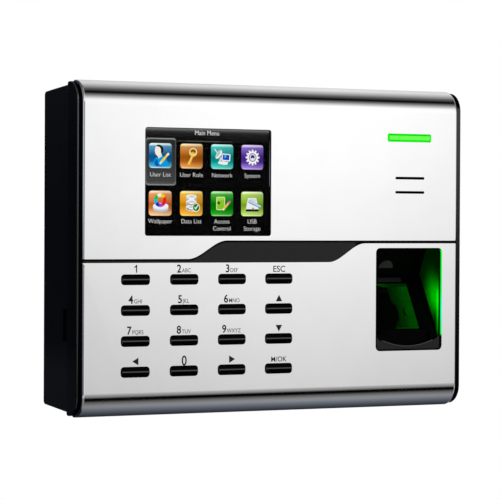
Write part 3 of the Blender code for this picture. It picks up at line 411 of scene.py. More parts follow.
def bevel_edges(obj, name, width, segments, limit="ANGLE"):
    """A rounding of edges, width mm across."""
    bevel = obj.modifiers.new(name, "BEVEL")
    bevel.width, bevel.segments, bevel.limit_method = width * MM, segments, limit
    return bevel


def round_chosen(obj, name, width, chosen):
    """Rounds the edges between the vertices for which chosen(x, y, z), in metres, holds."""
    found = [vertex.index for vertex in obj.data.vertices if chosen(*vertex.co)]
    obj.vertex_groups.new(name=name).add(found, 1.0, "REPLACE")
    rounding = bevel_edges(obj, "round " + name, width, 4, "VGROUP")
    rounding.vertex_group = name
    rounding.use_clamp_overlap = False


def round_sheet(obj):
    """Rounds the front line of a sheet's left and right ends, and eases the start of its bend."""
    low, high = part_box(obj.name)
    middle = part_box("front_panel_upper")[1].z - BEND * MM

    def outside(y, z):
        inward = math.hypot(max(0.0, abs(z) - middle), BEND * MM - (y - FRONT))
        return inward > (BEND - 0.1) * MM

    near = 0.01 * MM
    round_chosen(obj, "left", SHEET_END_ROUNDING, lambda x, y, z: x - low.x < near and outside(y, z))
    round_chosen(obj, "right", SHEET_END_ROUNDING, lambda x, y, z: high.x - x < near and outside(y, z))

    def start(_, y, z):
        return abs(abs(z) - middle) < 5 * near and outside(y, z)

    round_chosen(obj, "start", BEND_START_ROUNDING, start)


CHEEK_ROUNDING = 0.6  # mm


def round_cheeks(obj):
    """Rounds the outline of each cheek's outer side."""
    low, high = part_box(obj.name)
    round_chosen(obj, "left", CHEEK_ROUNDING, lambda x, y, z: x - low.x < 0.01 * MM)
    round_chosen(obj, "right", CHEEK_ROUNDING, lambda x, y, z: high.x - x < 0.01 * MM)


def round_ridge(obj):
    """Rounds the ridge along a key."""
    front = min(vertex.co.y for vertex in obj.data.vertices)
    round_chosen(obj, "ridge", 0.42, lambda x, y, z: y - front < 0.01 * MM)


def soften(obj, radius):
    """Rounds a CAD node's sharp edges and shades its bends smoothly, all in modifiers."""
    for face in obj.data.polygons:
        face.use_smooth = True
    weld = obj.modifiers.new("weld", "WELD")
    weld.merge_threshold = 0.002 * MM
    if obj.name != "finger_well":
        flat = obj.modifiers.new("flat faces", "DECIMATE")
        flat.decimate_type = "DISSOLVE"
        flat.angle_limit = math.radians(0.8)
    if obj.name.startswith("front_panel"):
        round_sheet(obj)
    elif obj.name == "front_frame":
        round_cheeks(obj)
    elif obj.name in KEYS:
        round_ridge(obj)
    bevel_edges(obj, "soft edges", radius, 2).angle_limit = math.radians(24)
    normals = obj.modifiers.new("even shading", "WEIGHTED_NORMAL")
    normals.keep_sharp = True
    normals.weight = 80


def mesh_from(own, name):
    """A mesh with the faces of a bmesh, which it frees."""
    mesh = bpy.data.meshes.new(name)
    own.to_mesh(mesh)
    own.free()
    return mesh


def new_object(name, data):
    obj = bpy.data.objects.new(name, data)
    bpy.context.scene.collection.objects.link(obj)
    return obj


def paint(obj, material):
    obj.data.materials.clear()
    obj.data.materials.append(material)


def dress_nodes():
    for material, names in FINISHES.items():
        for name in names:
            paint(NODES[name], material)
    for name, obj in NODES.items():
        if name in KEYS:
            paint(obj, KEY)
            soften(obj, KEY_EDGE_RADIUS)
        else:
            if name.startswith(("case_screw", "speaker_basket", "speaker_magnet")):
                paint(obj, PLATED)
            soften(obj, EDGE_RADIUS.get(name, OTHER_EDGE_RADIUS))


# ---- flat shapes, in mm on the front plane
def placed(points, x, z, turn=0.0):
    """An outline turned by an angle in degrees, then moved."""
    cos, sin = math.cos(math.radians(turn)), math.sin(math.radians(turn))
    return [(x + px * cos - pz * sin, z + px * sin + pz * cos) for px, pz in points]


def disc(x, z, radius, tall=None, turn=0.0, steps=28):
    """Outline of a circle, or of an ellipse where tall gives its half height."""
    tall = radius if tall is None else tall
    angles = [2 * math.pi * i / steps for i in range(steps)]
    return placed([(radius * math.cos(angle), tall * math.sin(angle)) for angle in angles], x, z, turn)


def block(x, z, wide, high, corner=0.0, turn=0.0, steps=5):
    """Outline of a rectangle about its middle, with round corners."""
    points = []
    half_x, half_z = wide / 2 - corner, high / 2 - corner
    for quarter, (side_x, side_z) in enumerate(((1, 1), (-1, 1), (-1, -1), (1, -1))):
        for i in range(steps if corner else 1):
            angle = math.radians(90 * (quarter + i / (steps - 1)))
            across, up = corner * math.cos(angle), corner * math.sin(angle)
            points.append((side_x * half_x + across, side_z * half_z + up))
    return placed(points, x, z, turn)


def bar(start, end, wide, corner=0.0):
    """Outline of a bar from one point to another."""
    across, up = end[0] - start[0], end[1] - start[1]
    middle = ((start[0] + end[0]) / 2, (start[1] + end[1]) / 2)
    return block(*middle, math.hypot(across, up), wide, corner, math.degrees(math.atan2(up, across)))


def cog(x, z, outer, root, teeth):
    """Outline of a gear wheel."""
    points = []
    for tooth in range(teeth):
        for share, radius in ((-0.30, root), (-0.19, outer), (0.19, outer), (0.30, root)):
            angle = 2 * math.pi * (tooth + share) / teeth
            points.append((x + radius * math.cos(angle), z + radius * math.sin(angle)))
    return points


def slice_of_ring(x, z, outer, inner, start, end, steps=8):
    """Outline of part of a ring between two angles in degrees."""
    angles = [math.radians(start + (end - start) * i / steps) for i in range(steps + 1)]
    far = [(x + outer * math.cos(a), z + outer * math.sin(a)) for a in angles]
    near = [(x + inner * math.cos(a), z + inner * math.sin(a)) for a in reversed(angles)]
    return far + near


class Sheet:
    """Thin flat shapes at set depths, gathered into one closed mesh with its materials."""

    def __init__(self, name, origin=(0.0, 0.0)):
        self.name, self.origin = name, origin
        self.mesh = bmesh.new()
        self.materials = []

    def add(self, outline, material, front, rear):
        """A plate between two depths."""
        own = bmesh.new()
        near, far = (
            [own.verts.new((x * MM, FRONT + depth * MM, z * MM)) for x, z in outline]
            for depth in (front, rear)
        )
        own.faces.new(near)
        own.faces.new(far)
        for i in range(len(outline)):
            own.faces.new((near[i - 1], near[i], far[i], far[i - 1]))
        self.take(own, material)

    def cuboid(self, size, x, depth, z, corner, segments, material):
        """A block about its middle, with its edges rounded by corner."""
        own = bmesh.new()
        bmesh.ops.create_cube(own, size=1.0)
        place = Matrix.Translation((x * MM, FRONT + depth * MM, z * MM))
        own.transform(place @ Matrix.Diagonal((*(length * MM for length in size), 1.0)))
        bmesh.ops.bevel(own, geom=own.edges[:], offset=corner * MM, segments=segments, affect="EDGES")
        self.take(own, material)

    def take(self, own, material):
        """Moves a small mesh's faces into this one, facing out."""
        if material not in self.materials:
            self.materials.append(material)
        bmesh.ops.recalc_face_normals(own, faces=own.faces)
        for face in own.faces:
            face.material_index = self.materials.index(material)
        part = mesh_from(own, "part")
        self.mesh.from_mesh(part)
        bpy.data.meshes.remove(part)

    def words(self, text, x, z, material, front, rear, **style):
        """Lettering on a baseline at z."""
        self.take(lettering(text, x, z, front, rear, **style), material)

    def build(self, slot, bevel=0.0, smooth=True, move=None):
        """The finished object. move, where given, carries the mesh into place from the front plane."""
        mesh = mesh_from(self.mesh, self.name)
        origin = Vector((self.origin[0] * MM, FRONT, self.origin[1] * MM))
        mesh.transform(Matrix.Translation(-origin))
        if move:
            mesh.transform(move)
        for material in self.materials:
            mesh.materials.append(material)
        obj = new_object(self.name, mesh)
        if not move:
            obj.location = origin
        if bevel:
            bevel_edges(obj, "soft edges", bevel, 2)
        if bevel and smooth:
            for face in mesh.polygons:
                face.use_smooth = True
            obj.modifiers.new("even shading", "WEIGHTED_NORMAL").keep_sharp = True
        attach(obj, TERMINAL)


def joined_mesh(obj, gap):
    """The mesh of a curve object, which it removes, with points closer than the gap joined."""
    curve = obj.data
    mesh = bpy.data.meshes.new_from_object(obj.evaluated_get(bpy.context.evaluated_depsgraph_get()))
    own = bmesh.new()
    own.from_mesh(mesh)
    bpy.data.objects.remove(obj)
    bpy.data.curves.remove(curve)
    bpy.data.meshes.remove(mesh)
    bmesh.ops.remove_doubles(own, verts=own.verts, dist=gap)
    return own


def flat_text(text, align="LEFT", bold=0.0):
    """Filled flat mesh of some lettering at its own size."""
    curve = bpy.data.curves.new("lettering", "FONT")
    curve.body = text
    curve.align_x = align
    curve.offset = bold
    curve.resolution_u = 4
    obj = new_object("lettering", curve)
    return joined_mesh(obj, 1e-5)


def capital_height():
    flat = flat_text("H")
    height = max(v.co.y for v in flat.verts) - min(v.co.y for v in flat.verts)
    flat.free()
    return height


CAPITAL = capital_height()


def lettering(text, x, z, front, rear, cap, squeeze=1.0, bold=0.0, align="CENTER"):
    """Closed mesh of some lettering between two depths, with capitals cap mm tall."""
    flat = flat_text(text, align, bold)
    size = cap / CAPITAL * MM
    place = Matrix.Translation((x * MM, FRONT + rear * MM, z * MM))
    upright = Matrix.Rotation(math.radians(90), 4, "X") @ Matrix.Diagonal((size * squeeze, size, size, 1.0))
    bmesh.ops.transform(flat, matrix=place @ upright, verts=flat.verts)
    grown = bmesh.ops.extrude_face_region(flat, geom=flat.faces[:], use_keep_orig=True)
    moved = [item for item in grown["geom"] if isinstance(item, bmesh.types.BMVert)]
    bmesh.ops.translate(flat, verts=moved, vec=(0, (front - rear) * MM, 0))
    return flat


# ---- trim band
BAND = {"left": (-5.55, -4.13), "right": (2.2, 3.32)}  # heights of the lower and the upper edge, mm
BAND_RISE = {"upper": (-41.0, -23.5), "lower": (24.8, 42.0)}  # where each edge climbs, mm


def climb(x, ends, low, high):
    """Height of an S-shaped climb between two x positions."""
    share = min(1.0, max(0.0, (x - ends[0]) / (ends[1] - ends[0])))
    return low + (high - low) * share * share * (3 - 2 * share)


def build_trim_face():
    """The grey face of the band, which leaves a black line along its upper edge."""
    top_inset, low_inset = 0.72, 0.03
    steps = 96
    start, end = -87.4, 37.6
    upper, lower = [], []
    for i in range(steps + 1):
        x = start + (end - start) * i / steps
        upper.append((x, climb(x, BAND_RISE["upper"], BAND["left"][1], BAND["right"][1]) - top_inset))
        lower.append((x, climb(x, BAND_RISE["lower"], BAND["left"][0], BAND["right"][0]) + low_inset))
    sheet = Sheet("trim_face")
    sheet.add(lower + upper[::-1], TRIM, 0.1, 0.29)
    sheet.build("grey_trim", 0.08)


# ---- key legends
KEY_FIRST = (-64.65, -12.25)
KEY_PITCH = (21.84, 12.23)
LEGENDS = (
    (("1", ""), ("2", "ABC"), ("3", "DEF"), ("", "ESC")),
    (("4", "GHI"), ("5", "JKL"), ("6", "MNO"), ("", "up")),
    (("7", "PQRS"), ("8", "TUV"), ("9", "WXYZ"), ("", "down")),
    (("", "left"), ("0", ""), ("", "right"), ("", "M/OK")),
)
ONE = (
    (0.55, 0.0), (0.55, 3.1), (0.2, 3.1), (-0.1, 2.65), (-0.65, 2.3), (-0.65, 1.85), (0.08, 2.2), (0.08, 0.0),
)
ARROW_TURNS = {"up": 90, "down": -90, "left": 180, "right": 0}
INK_DEPTHS = (-0.02, -0.004)


def arrow(x, z, turn):
    """Outline of a solid triangle that points along an angle."""
    return placed(((1.42, 0.0), (-1.3, 1.5), (-1.3, -1.5)), x, z, turn)


DIGIT = {"cap": 3.05, "squeeze": 0.92, "bold": 0.02}
NOUGHT = {"cap": 3.8, "squeeze": 0.86, "bold": 0.014}
LETTERS = {"cap": 1.62, "squeeze": 0.9, "bold": 0.004}
WORD_CAPS = {"ESC": 2.45, "M/OK": 2.0}


def width_of(text, cap, squeeze, bold):
    flat = flat_text(text, bold=bold)
    across = [v.co.x for v in flat.verts]
    flat.free()
    return (max(across) - min(across)) / CAPITAL * cap * squeeze


def build_legends():
    digits, letters = Sheet("key_digits"), Sheet("key_letters")
    for row, keys in enumerate(LEGENDS):
        for column, (digit, extra) in enumerate(keys):
            x = KEY_FIRST[0] + column * KEY_PITCH[0] + 0.1
            z = KEY_FIRST[1] - row * KEY_PITCH[1] + 2.8
            if extra in ARROW_TURNS:
                digits.add(arrow(x, z + 1.45, ARROW_TURNS[extra]), ARROW_INK, *INK_DEPTHS)
            elif digit == "0":
                digits.words(digit, x, z - 0.55, INK, *INK_DEPTHS, **NOUGHT)
            elif digit == "1":
                digits.add(placed(ONE, x, z), INK, *INK_DEPTHS)
            elif digit:
                wide = width_of(digit, **DIGIT)
                start = x - 0.2 - (wide + 0.45 + width_of(extra, **LETTERS)) / 2
                digits.words(digit, start + wide / 2, z, INK, *INK_DEPTHS, **DIGIT)
                letters.words(extra, start + wide + 0.3, z, PALE_INK, *INK_DEPTHS, align="LEFT", **LETTERS)
            else:
                letters.words(extra, x, z, INK, *INK_DEPTHS, cap=WORD_CAPS[extra], bold=0.008)
    digits.build("grey_trim")
    letters.build("grey_trim")


# ---- display picture
PIXEL = 0.18 * MM
LAYER_FIRST, LAYER_STEP, LAYER_THICKNESS = 1.47, 0.024, 0.016  # mm


def pixels(tree):
    """Faint grid of the display's dots, as a grey from 0.86 to 1.04."""
    _, x, _, z = tree.place()
    total = 1.04
    for value in (x, z):
        share = tree.math("FRACT", tree.math("DIVIDE", value, PIXEL))
        gap = tree.math("ABSOLUTE", tree.math("SUBTRACT", share, 0.5))
        total = tree.math("SUBTRACT", total, tree.span(gap, 0.3, 0.5, 0.0, 0.09))
    return tree.grey(total)


def glowing(name, light):
    """A display colour: what it gives off comes from a function of the tree."""
    return finish(
        name,
        (0.0004, 0.0004, 0.0004),
        0.5,
        specular=0.005,
        grain=PIXEL / MM,
        relief=0.0005,
        light=lambda tree: tree.tint(light(tree), pixels(tree)),
    )


INKS = {}


def lit(red, green, blue):
    """A plain display colour given from 0 to 255, with a slight cloudiness."""
    key = (red, green, blue)
    if key not in INKS:
        colour = screen(*key)
        dim = tuple(c * 0.9 for c in colour)

        def light(tree):
            return tree.mix(tree.noise(tree.place()[0], 0.7 * MM), dim, colour)

        INKS[key] = glowing(f"display_{red}_{green}_{blue}", light)
    return INKS[key]


def graded(name, stops, low, high, fall=0.0):
    """A display colour that changes with height between two heights in mm, in its object's frame.

    fall is how much it darkens from 5 mm left of the middle to 5 mm right of it.
    """

    def light(tree):
        _, x, _, z = tree.place()
        share = tree.math("DIVIDE", tree.math("SUBTRACT", z, low * MM), (high - low) * MM, clamp=True)
        colours = tree.ramp(share, [(place, screen(*colour)) for place, colour in stops])
        shade = tree.span(x, -5 * MM, 5 * MM, 1 + fall / 2, 1 - fall / 2)
        return tree.tint(colours, tree.grey(shade))

    return glowing(name, light)


def layer(number):
    """Front and rear depth of a layer of the picture, from 0 at the back."""
    front = LAYER_FIRST - number * LAYER_STEP
    return front, front + LAYER_THICKNESS


WHITE = (244, 244, 240)
SKIN = (250, 232, 205)


def pencil(draw, tip, end, body, cap, first):
    """A pencil from its tip to its end."""
    def along(share):
        return (tip[0] + (end[0] - tip[0]) * share, tip[1] + (end[1] - tip[1]) * share)

    draw(bar(tip, along(0.2), 0.45), (90, 60, 30), first)
    draw(bar(along(0.12), along(0.3), 0.7), SKIN, first + 1)
    draw(bar(along(0.25), along(0.85), 0.9), body, first + 1)
    draw(bar(along(0.82), end, 0.95, 0.3), cap, first + 2)


def draw_user(draw):
    shoulders = [(-3.0, -4.2), (-2.9, -1.8), (-1.7, -0.6), (-0.9, -1.2), (0.6, 0.2), (2.2, -0.8), (3.3, -2.6)]
    hair = [(-2.3, 3.6), (-1.2, 4.4), (0.2, 4.2), (1.2, 3.2), (1.35, 1.9), (0.7, 0.9), (0.1, 1.3), (0.3, 2.5)]
    draw(shoulders + [(3.1, -4.2), (0.0, -4.6)], (0, 160, 232), 1)
    draw([(-2.7, -3.0), (-2.1, -1.5), (-1.3, -1.9), (-0.8, -4.2), (-1.9, -4.3)], (0, 96, 190), 2)
    draw([(-1.6, 0.6), (-0.9, -1.2), (0.7, -0.2), (0.3, 1.2)], SKIN, 2)
    draw(disc(-1.15, 1.9, 1.35, 2.15, 6), (255, 246, 228), 3)
    draw(hair + [(-0.4, 3.4), (-1.6, 3.7)], (22, 20, 22), 4)
    pencil(draw, (-0.9, -3.9), (3.7, 1.0), (255, 214, 10), (255, 240, 215), 5)


def draw_key(draw):
    gold, pale = (240, 188, 40), (255, 234, 170)
    draw(disc(0.7, 1.5, 1.85, 1.85), gold, 1)
    draw(disc(0.75, 1.75, 1.75, 1.5), pale, 2)
    draw(disc(0.7, 1.85, 1.25, 1.0), (140, 78, 20), 3)
    draw(disc(0.55, 1.2, 0.8, 0.5), gold, 4)
    draw(bar((0.5, 0.2), (-1.5, -3.5), 1.0, 0.2), gold, 2)
    draw(bar((0.3, 0.1), (-1.4, -3.2), 0.4, 0.1), pale, 3)
    draw(bar((-0.9, -1.9), (0.0, -2.3), 0.5), gold, 3)
    draw(bar((-1.3, -2.9), (-0.4, -3.2), 0.5), gold, 3)


def draw_network(draw):
    draw(disc(-1.5, 0.9, 2.1, 1.0, 52), WHITE, 1)
    draw(disc(-1.75, 1.15, 1.5, 0.5, 52), (170, 200, 206), 2)
    draw(bar((-2.3, 1.6), (-3.5, 3.1), 0.35), WHITE, 3)
    draw([(-0.9, -0.2), (-0.1, -0.4), (-0.6, -2.0), (-1.6, -2.2)], (206, 222, 226), 1)
    draw(block(1.75, -0.3, 4.0, 3.0, 0.4, -4), WHITE, 3)
    draw(block(1.75, -0.25, 3.0, 2.1, 0.2, -4), (14, 70, 196), 4)
    draw([(0.9, 0.7), (2.0, 0.6), (1.7, -0.4), (1.1, -0.6)], (70, 190, 236), 5)
    draw([(-1.8, -2.1), (0.4, -1.8), (2.8, -2.2), (2.3, -3.2), (0.6, -3.3), (-1.9, -2.8)], (244, 246, 246), 4)


def draw_gear(draw):
    draw(cog(0.1, -0.1, 3.25, 2.5, 12), (250, 250, 252), 1)
    draw(disc(0.1, -0.1, 1.75), (96, 84, 120), 2)
    draw(disc(0.1, -0.1, 1.45), (226, 226, 236), 3)
    draw(disc(0.1, 0.0, 0.9), (64, 30, 130), 4)
    draw(disc(0.1, -0.7, 0.6, 0.4), WHITE, 5)


def draw_wheel(draw):
    draw(disc(0.2, -2.3, 3.5, 1.2), (176, 200, 216), 1)
    draw(disc(0.2, -1.7, 3.5, 1.2), (214, 228, 238), 2)
    draw(disc(0.2, -1.1, 3.5, 1.25), (248, 252, 255), 3)
    warm = ((238, 30, 24), (250, 206, 10), (252, 246, 226), (20, 200, 70))
    cold = ((10, 190, 226), (16, 44, 190), (190, 60, 204), (240, 22, 50))
    for i, hue in enumerate(warm + cold):
        start = -12 + 45 * i
        draw(slice_of_ring(-0.05, 1.2, 2.75, 1.3, start, start + 45), hue, 4)


def draw_stack(draw):
    for i, z in enumerate((-2.7, -0.6, 1.5)):
        draw([(-2.4, z), (2.3, z), (2.3, z + 1.35), (-2.4, z + 1.35)], (200, 204, 214), 1 + i)
        draw([(-1.2, z - 0.3), (1.2, z - 0.5), (1.2, z + 1.0), (-1.2, z + 1.0)], (250, 250, 252), 2 + i)
        if i:
            draw(slice_of_ring(-0.05, z + 0.1, 2.35, 2.0, 215, 325), (84, 84, 96), 3 + i)
        draw(disc(-0.05, z + 1.35, 2.35, 0.75), (252, 252, 252), 3 + i)
        draw(disc(0.1, z + 1.3, 1.5, 0.4), (206, 208, 218), 4 + i)
    draw(disc(2.1, -1.6, 1.75), (244, 250, 240), 8)
    draw(disc(2.1, -1.6, 1.45), (10, 130, 16), 9)
    draw([(1.2, -1.6), (1.9, -2.5), (3.1, -0.8), (2.8, -0.5), (1.9, -1.8), (1.5, -1.3)], WHITE, 10)


def draw_door(draw):
    draw(block(-0.6, 0.1, 4.0, 5.4, 0.6), (232, 246, 160), 1)
    draw(block(-0.6, 0.1, 3.3, 4.7, 0.4), (136, 202, 44), 2)
    draw([(-2.2, 0.9), (0.9, 1.7), (0.9, 2.4), (-2.2, 2.4)], (164, 220, 70), 3)
    draw(disc(-1.5, 0.3, 0.6), (20, 76, 20), 4)
    pencil(draw, (-0.1, -3.1), (3.7, 1.0), (246, 186, 90), (200, 80, 214), 4)


def draw_drive(draw):
    draw([(-3.0, -2.3), (-1.9, 2.4), (1.9, 2.4), (3.1, -2.3)], (246, 246, 250), 1)
    draw([(-1.5, 2.0), (1.6, 2.0), (1.9, 1.0), (-1.7, 1.0)], (222, 222, 232), 2)
    draw(block(0.1, -2.6, 6.0, 0.9, 0.2), (14, 14, 18), 2)
    draw(bar((-1.7, 1.1), (4.1, -1.2), 1.25, 0.5), (96, 120, 150), 3)
    draw(bar((-1.6, 1.2), (4.0, -1.1), 0.8, 0.35), (190, 226, 240), 4)
    draw(disc(0.4, -1.8, 0.3), (60, 60, 76), 4)


TILES = (  # name, top, middle and low colour, drawing, caption
    ("users", (214, 240, 248), (8, 92, 150), (80, 176, 212), draw_user, ("User List",)),
    ("roles", (250, 222, 170), (170, 92, 16), (230, 158, 78), draw_key, ("User Role",)),
    ("network", (176, 244, 236), (0, 146, 138), (70, 206, 196), draw_network, ("Network",)),
    ("system", (214, 196, 246), (76, 40, 146), (156, 124, 216), draw_gear, ("System",)),
    ("wallpaper", (255, 220, 176), (204, 110, 44), (248, 190, 134), draw_wheel, ("Wallpaper",)),
    ("data", (255, 230, 140), (216, 146, 8), (250, 186, 64), draw_stack, ("Data List",)),
    ("access", (170, 236, 150), (0, 124, 0), (40, 170, 40), draw_door, ("Access", "Control")),
    ("storage", (232, 250, 180), (132, 176, 44), (192, 226, 116), draw_drive, ("USB", "Storage")),
)
TILE_X = (-53.1, -39.05, -25.05, -11.05)
TILE_Z = (37.2, 18.2)
TILE_SIZE = (10.2, 9.9)
CAPTION_DROP = (8.35, 8.0)  # from a tile's middle to its caption's baseline, by row
CAPTION_LINE = 2.85


def build_tile(number, name, top, middle, low, draw_icon, caption):
    x, z = TILE_X[number % 4], TILE_Z[number // 4]
    half = TILE_SIZE[1] / 2
    bright = tuple(round(c + (255 - c) * 0.35) for c in top)
    paler = tuple(round((a + 1.6 * b) / 2.6) for a, b in zip(top, middle))
    deep = tuple(round(c * 0.84) for c in middle)
    lower = ((0.0, top), (0.06, low), (0.28, middle), (0.46, deep), (0.56, middle))
    upper = ((0.88, paler), (0.95, top), (1.0, bright))
    face = graded(f"display_{name}", lower + upper, -half, half, 0.3)
    sheet = Sheet(f"icon_{name}", (x, z))
    sheet.add(block(x, z, *TILE_SIZE, 1.25), face, *layer(2))

    def draw(outline, colour, level):
        sheet.add(placed(outline, x, z), lit(*colour), *layer(2 + level))

    draw_icon(draw)
    for line, words in enumerate(caption):
        base = z - CAPTION_DROP[number // 4] - CAPTION_LINE * line
        sheet.words(words, x, base, lit(244, 244, 244), *layer(3), cap=1.72, squeeze=1.02, bold=-0.014)
    sheet.build("liquid_crystal")


def build_picture():
    """Title bar, selection frame, scroll bar, icons and captions of the menu on the display."""
    low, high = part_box("display_window")
    left, right, top = low.x / MM, high.x / MM, high.z / MM
    title = Sheet("menu_title")
    shine = greys((0.0, 8), (0.2, 14), (0.45, 24), (0.62, 32), (0.75, 50), (0.85, 82), (0.94, 112), (1, 100))
    bar_low = top - 5.0
    title_bar = block((left + right) / 2, (top + bar_low) / 2, right - left - 0.2, top - bar_low, 0.3)
    title.add(title_bar, graded("display_title", shine, bar_low, top), *layer(0))
    for level, (half, value) in enumerate(((19.0, 30), (13.0, 56), (8.0, 80))):
        title.add(block(-33.5, bar_low - 0.05, 2 * half, 0.42), lit(value, value, value), *layer(1 + level))
    title.words("Main Menu", -32.0, 45.75, lit(232, 232, 232), *layer(1), cap=1.8, squeeze=0.96)
    scroll = graded("display_scroll", ((0.0, (150, 152, 170)), (1.0, (100, 103, 112))), 25.4, 44.0)
    title.add(block(right + 0.5, 34.7, 0.7, 18.6, 0.2), scroll, *layer(1))
    title.build("liquid_crystal")

    x, z, wide, tall, rim_width = -52.85, 34.8, 13.7, 18.9, 0.55
    rim = greys((0.0, 140), (0.1, 84), (0.5, 66), (0.93, 76), (1.0, 165))
    fill = greys((0.0, 88), (0.1, 64), (0.5, 52), (0.92, 40), (1.0, 58))
    chosen = Sheet("menu_selection", (x, z))
    chosen.add(block(x, z, wide, tall, 1.2), graded("display_rim", rim, -tall / 2, tall / 2), *layer(0))
    inner = block(x, z, wide - 2 * rim_width, tall - 2 * rim_width, 0.9)
    chosen.add(inner, graded("display_fill", fill, -tall / 2, tall / 2), *layer(1))
    chosen.build("liquid_crystal")
    for number, tile in enumerate(TILES):
        build_tile(number, *tile)


# ---- finger well
FLOOR_FOOT, FLOOR_APEX = (1.8, -36.4), (16.2, -10.9)  # depth and height of the floor's ends, mm
FLOOR_TILT = math.atan2(FLOOR_APEX[0] - FLOOR_FOOT[0], FLOOR_APEX[1] - FLOOR_FOOT[1])
GLASS_MIDDLE = (8.6, -24.4)
CEILING = ((11.0, -0.3), (16.2, -10.9))


def leaning_sheet(name, shapes, slot, middle, tilt, bevel=0.0):
    """Plates on a sloping wall: x from the well's middle, z up the slope, depths behind its face."""
    sheet = Sheet(name)
    for outline, material, front, rear in shapes:
        sheet.add(outline, material, front, rear)
    depth, z = middle
    place = Matrix.Translation((WELL_X * MM, FRONT + depth * MM, z * MM))
    sheet.build(slot, bevel, smooth=False, move=place @ Matrix.Rotation(tilt, 4, "X"))


def lit_glass(name, low, high, left, right):
    light = glass_glow((0.0, low, 0.0), (0.0, high, 0.0), left, right)
    return finish(name, (0.0005, 0.001, 0.0005), 0.2, specular=0.05, grain=0.3, relief=0.0005, light=light)


def build_well_details():
    """Lit areas of the finger glass, the guide bar above it, a pale arch on the ceiling, and the chin plate
    with a painted highlight along its smile.
    """
    # The lit field leaves the glass's left part dark: that dark shape is a painted reflection of the well's
    # dark inside.
    field = [(-2.6, 8.8), (7.4, 9.5), (7.4, -10.2), (-3.9, -10.2), (-2.45, -7.4), (-1.2, -6.6)]
    field += [(-0.5, -3.0), (-0.85, 0.55), (-2.5, 1.4), (-2.65, 4.2)]
    head = [(-7.4, 10.75), (7.4, 10.75), (7.4, 9.6), (-2.6, 8.9), (-4.7, 9.3), (-7.4, 10.1)]
    foot = [(-4.2, -10.25), (7.3, -10.25), (7.3, -10.65), (-4.4, -10.65)]
    mark = [(2.0, -0.9), (2.5, -1.3), (2.6, -4.6), (2.1, -5.0), (1.8, -3.0)]
    shapes = (
        (field, lit_glass("glass_field", 0.011, 0.052, 61.6, 71.2), 0.22, 0.28),
        (head, lit_glass("glass_head", 0.045, 0.018, 57.5, 62.5), 0.16, 0.28),
        (foot, lit_glass("glass_foot", 0.03, 0.06, 60.0, 70.0), 0.16, 0.28),
        (mark, GLASS, 0.14, 0.21),
    )
    leaning_sheet("glass_light", shapes, "optical_glass", GLASS_MIDDLE, -FLOOR_TILT)

    grey_plastic = finish("well_grey", screen(30, 30, 31), 0.5, specular=0.2)
    guide = ((block(-0.75, 12.5, 11.9, 2.0, 0.3), grey_plastic, -0.25, 0.4),)
    leaning_sheet("finger_guide", guide, "black_case", GLASS_MIDDLE, -FLOOR_TILT, 0.12)

    (top_depth, top_z), (low_depth, low_z) = CEILING
    ceiling_tilt = math.atan2(low_depth - top_depth, top_z - low_z)
    turns = [math.pi * i / 16 for i in range(17)]
    # A pale grey arch plate on the sloping ceiling.
    arch = [(-2.7 + 3.55 * math.cos(turn), -8.9 + 3.6 * math.sin(turn)) for turn in turns]
    pale = finish("arch_grey", screen(50, 50, 50), 0.5, specular=0.2)
    arch_plate = ((arch, pale, -0.5, 0.3),)
    leaning_sheet("pale_arch", arch_plate, "black_case", CEILING[0], ceiling_tilt, 0.15)

    def smile(drop):
        shares = [1 - i / 12 for i in range(25)]
        return [(WELL_X - 0.05 + 12.35 * share, -40.85 - drop + 2.4 * share * share) for share in shares]

    right = [(48.65, -42.35), (79.85, -42.35), (79.85, -37.0), (79.5, -37.1), (78.4, -37.9), (77.1, -38.8)]
    left = [(50.6, -38.8), (49.6, -38.1), (49.1, -37.6), (48.65, -37.4)]
    chin_grey = finish("chin_grey", screen(31, 31, 31), 0.4, specular=0.2)
    painted_lip_highlight = finish("painted_lip_highlight", screen(64, 64, 64), 0.35, specular=0.3, relief=0.002)
    chin = Sheet("chin_plate", (WELL_X, -40.0))
    chin.add(right + smile(0.0) + left, chin_grey, 0.75, 1.38)
    # A pale strip along the smile's edge: a painted highlight.
    chin.add(smile(0.0) + smile(0.42)[::-1], painted_lip_highlight, 0.6, 1.1)
    chin.build("black_case", 0.1)


# ---- connector details
def build_usb_tongue():
    """The plastic tongue of the USB port and its four gold contacts."""
    depth, z, left = 14.4, -30.4, -83.6
    tongue = Sheet("usb_tongue")
    tongue.cuboid((10.4, 1.8, 11.0), left + 5.2, depth - 1.0, z, 0.25, 2, PLASTIC)
    for step in (-3.5, -1.0, 1.0, 3.5):
        tongue.cuboid((7.6, 0.16, 1.0), left + 4.6, depth - 0.05, z + step, 0.05, 1, GOLD)
    tongue.build("connector")


# ---- tamper spring
def build_spring():
    """The tamper switch's spring, wound finely; the real one shortens as the plunger goes in, but this coil
    is built at one length.
    """
    low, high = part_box("tamper_spring")
    middle = (low + high) / 2
    wire = 0.35 * MM
    radius = (high.x - low.x - wire) / 2
    curve = bpy.data.curves.new("tamper_coil", "CURVE")
    curve.dimensions = "3D"
    curve.bevel_depth = wire / 2
    curve.bevel_resolution = 2
    curve.use_fill_caps = True
    spline = curve.splines.new("POLY")
    turns, per_turn = 5, 20
    count = turns * per_turn + 1
    spline.points.add(count - 1)
    start, end = low.y + wire / 2, high.y - wire / 2
    for i, point in enumerate(spline.points):
        angle = 2 * math.pi * i / per_turn
        share = i / (count - 1)
        eased = share - 0.12 * math.sin(2 * math.pi * share) / (2 * math.pi)
        y = start + (end - start) * eased
        point.co = (middle.x + radius * math.cos(angle), y, middle.z + radius * math.sin(angle), 1.0)
    source = new_object("tamper_coil_path", curve)
    mesh = mesh_from(joined_mesh(source, 1e-6), "tamper_coil")
    mesh.materials.append(PLATED)
    coil = new_object("tamper_coil", mesh)
    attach(coil, TERMINAL)
    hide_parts("tamper_spring")
    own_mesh(coil)


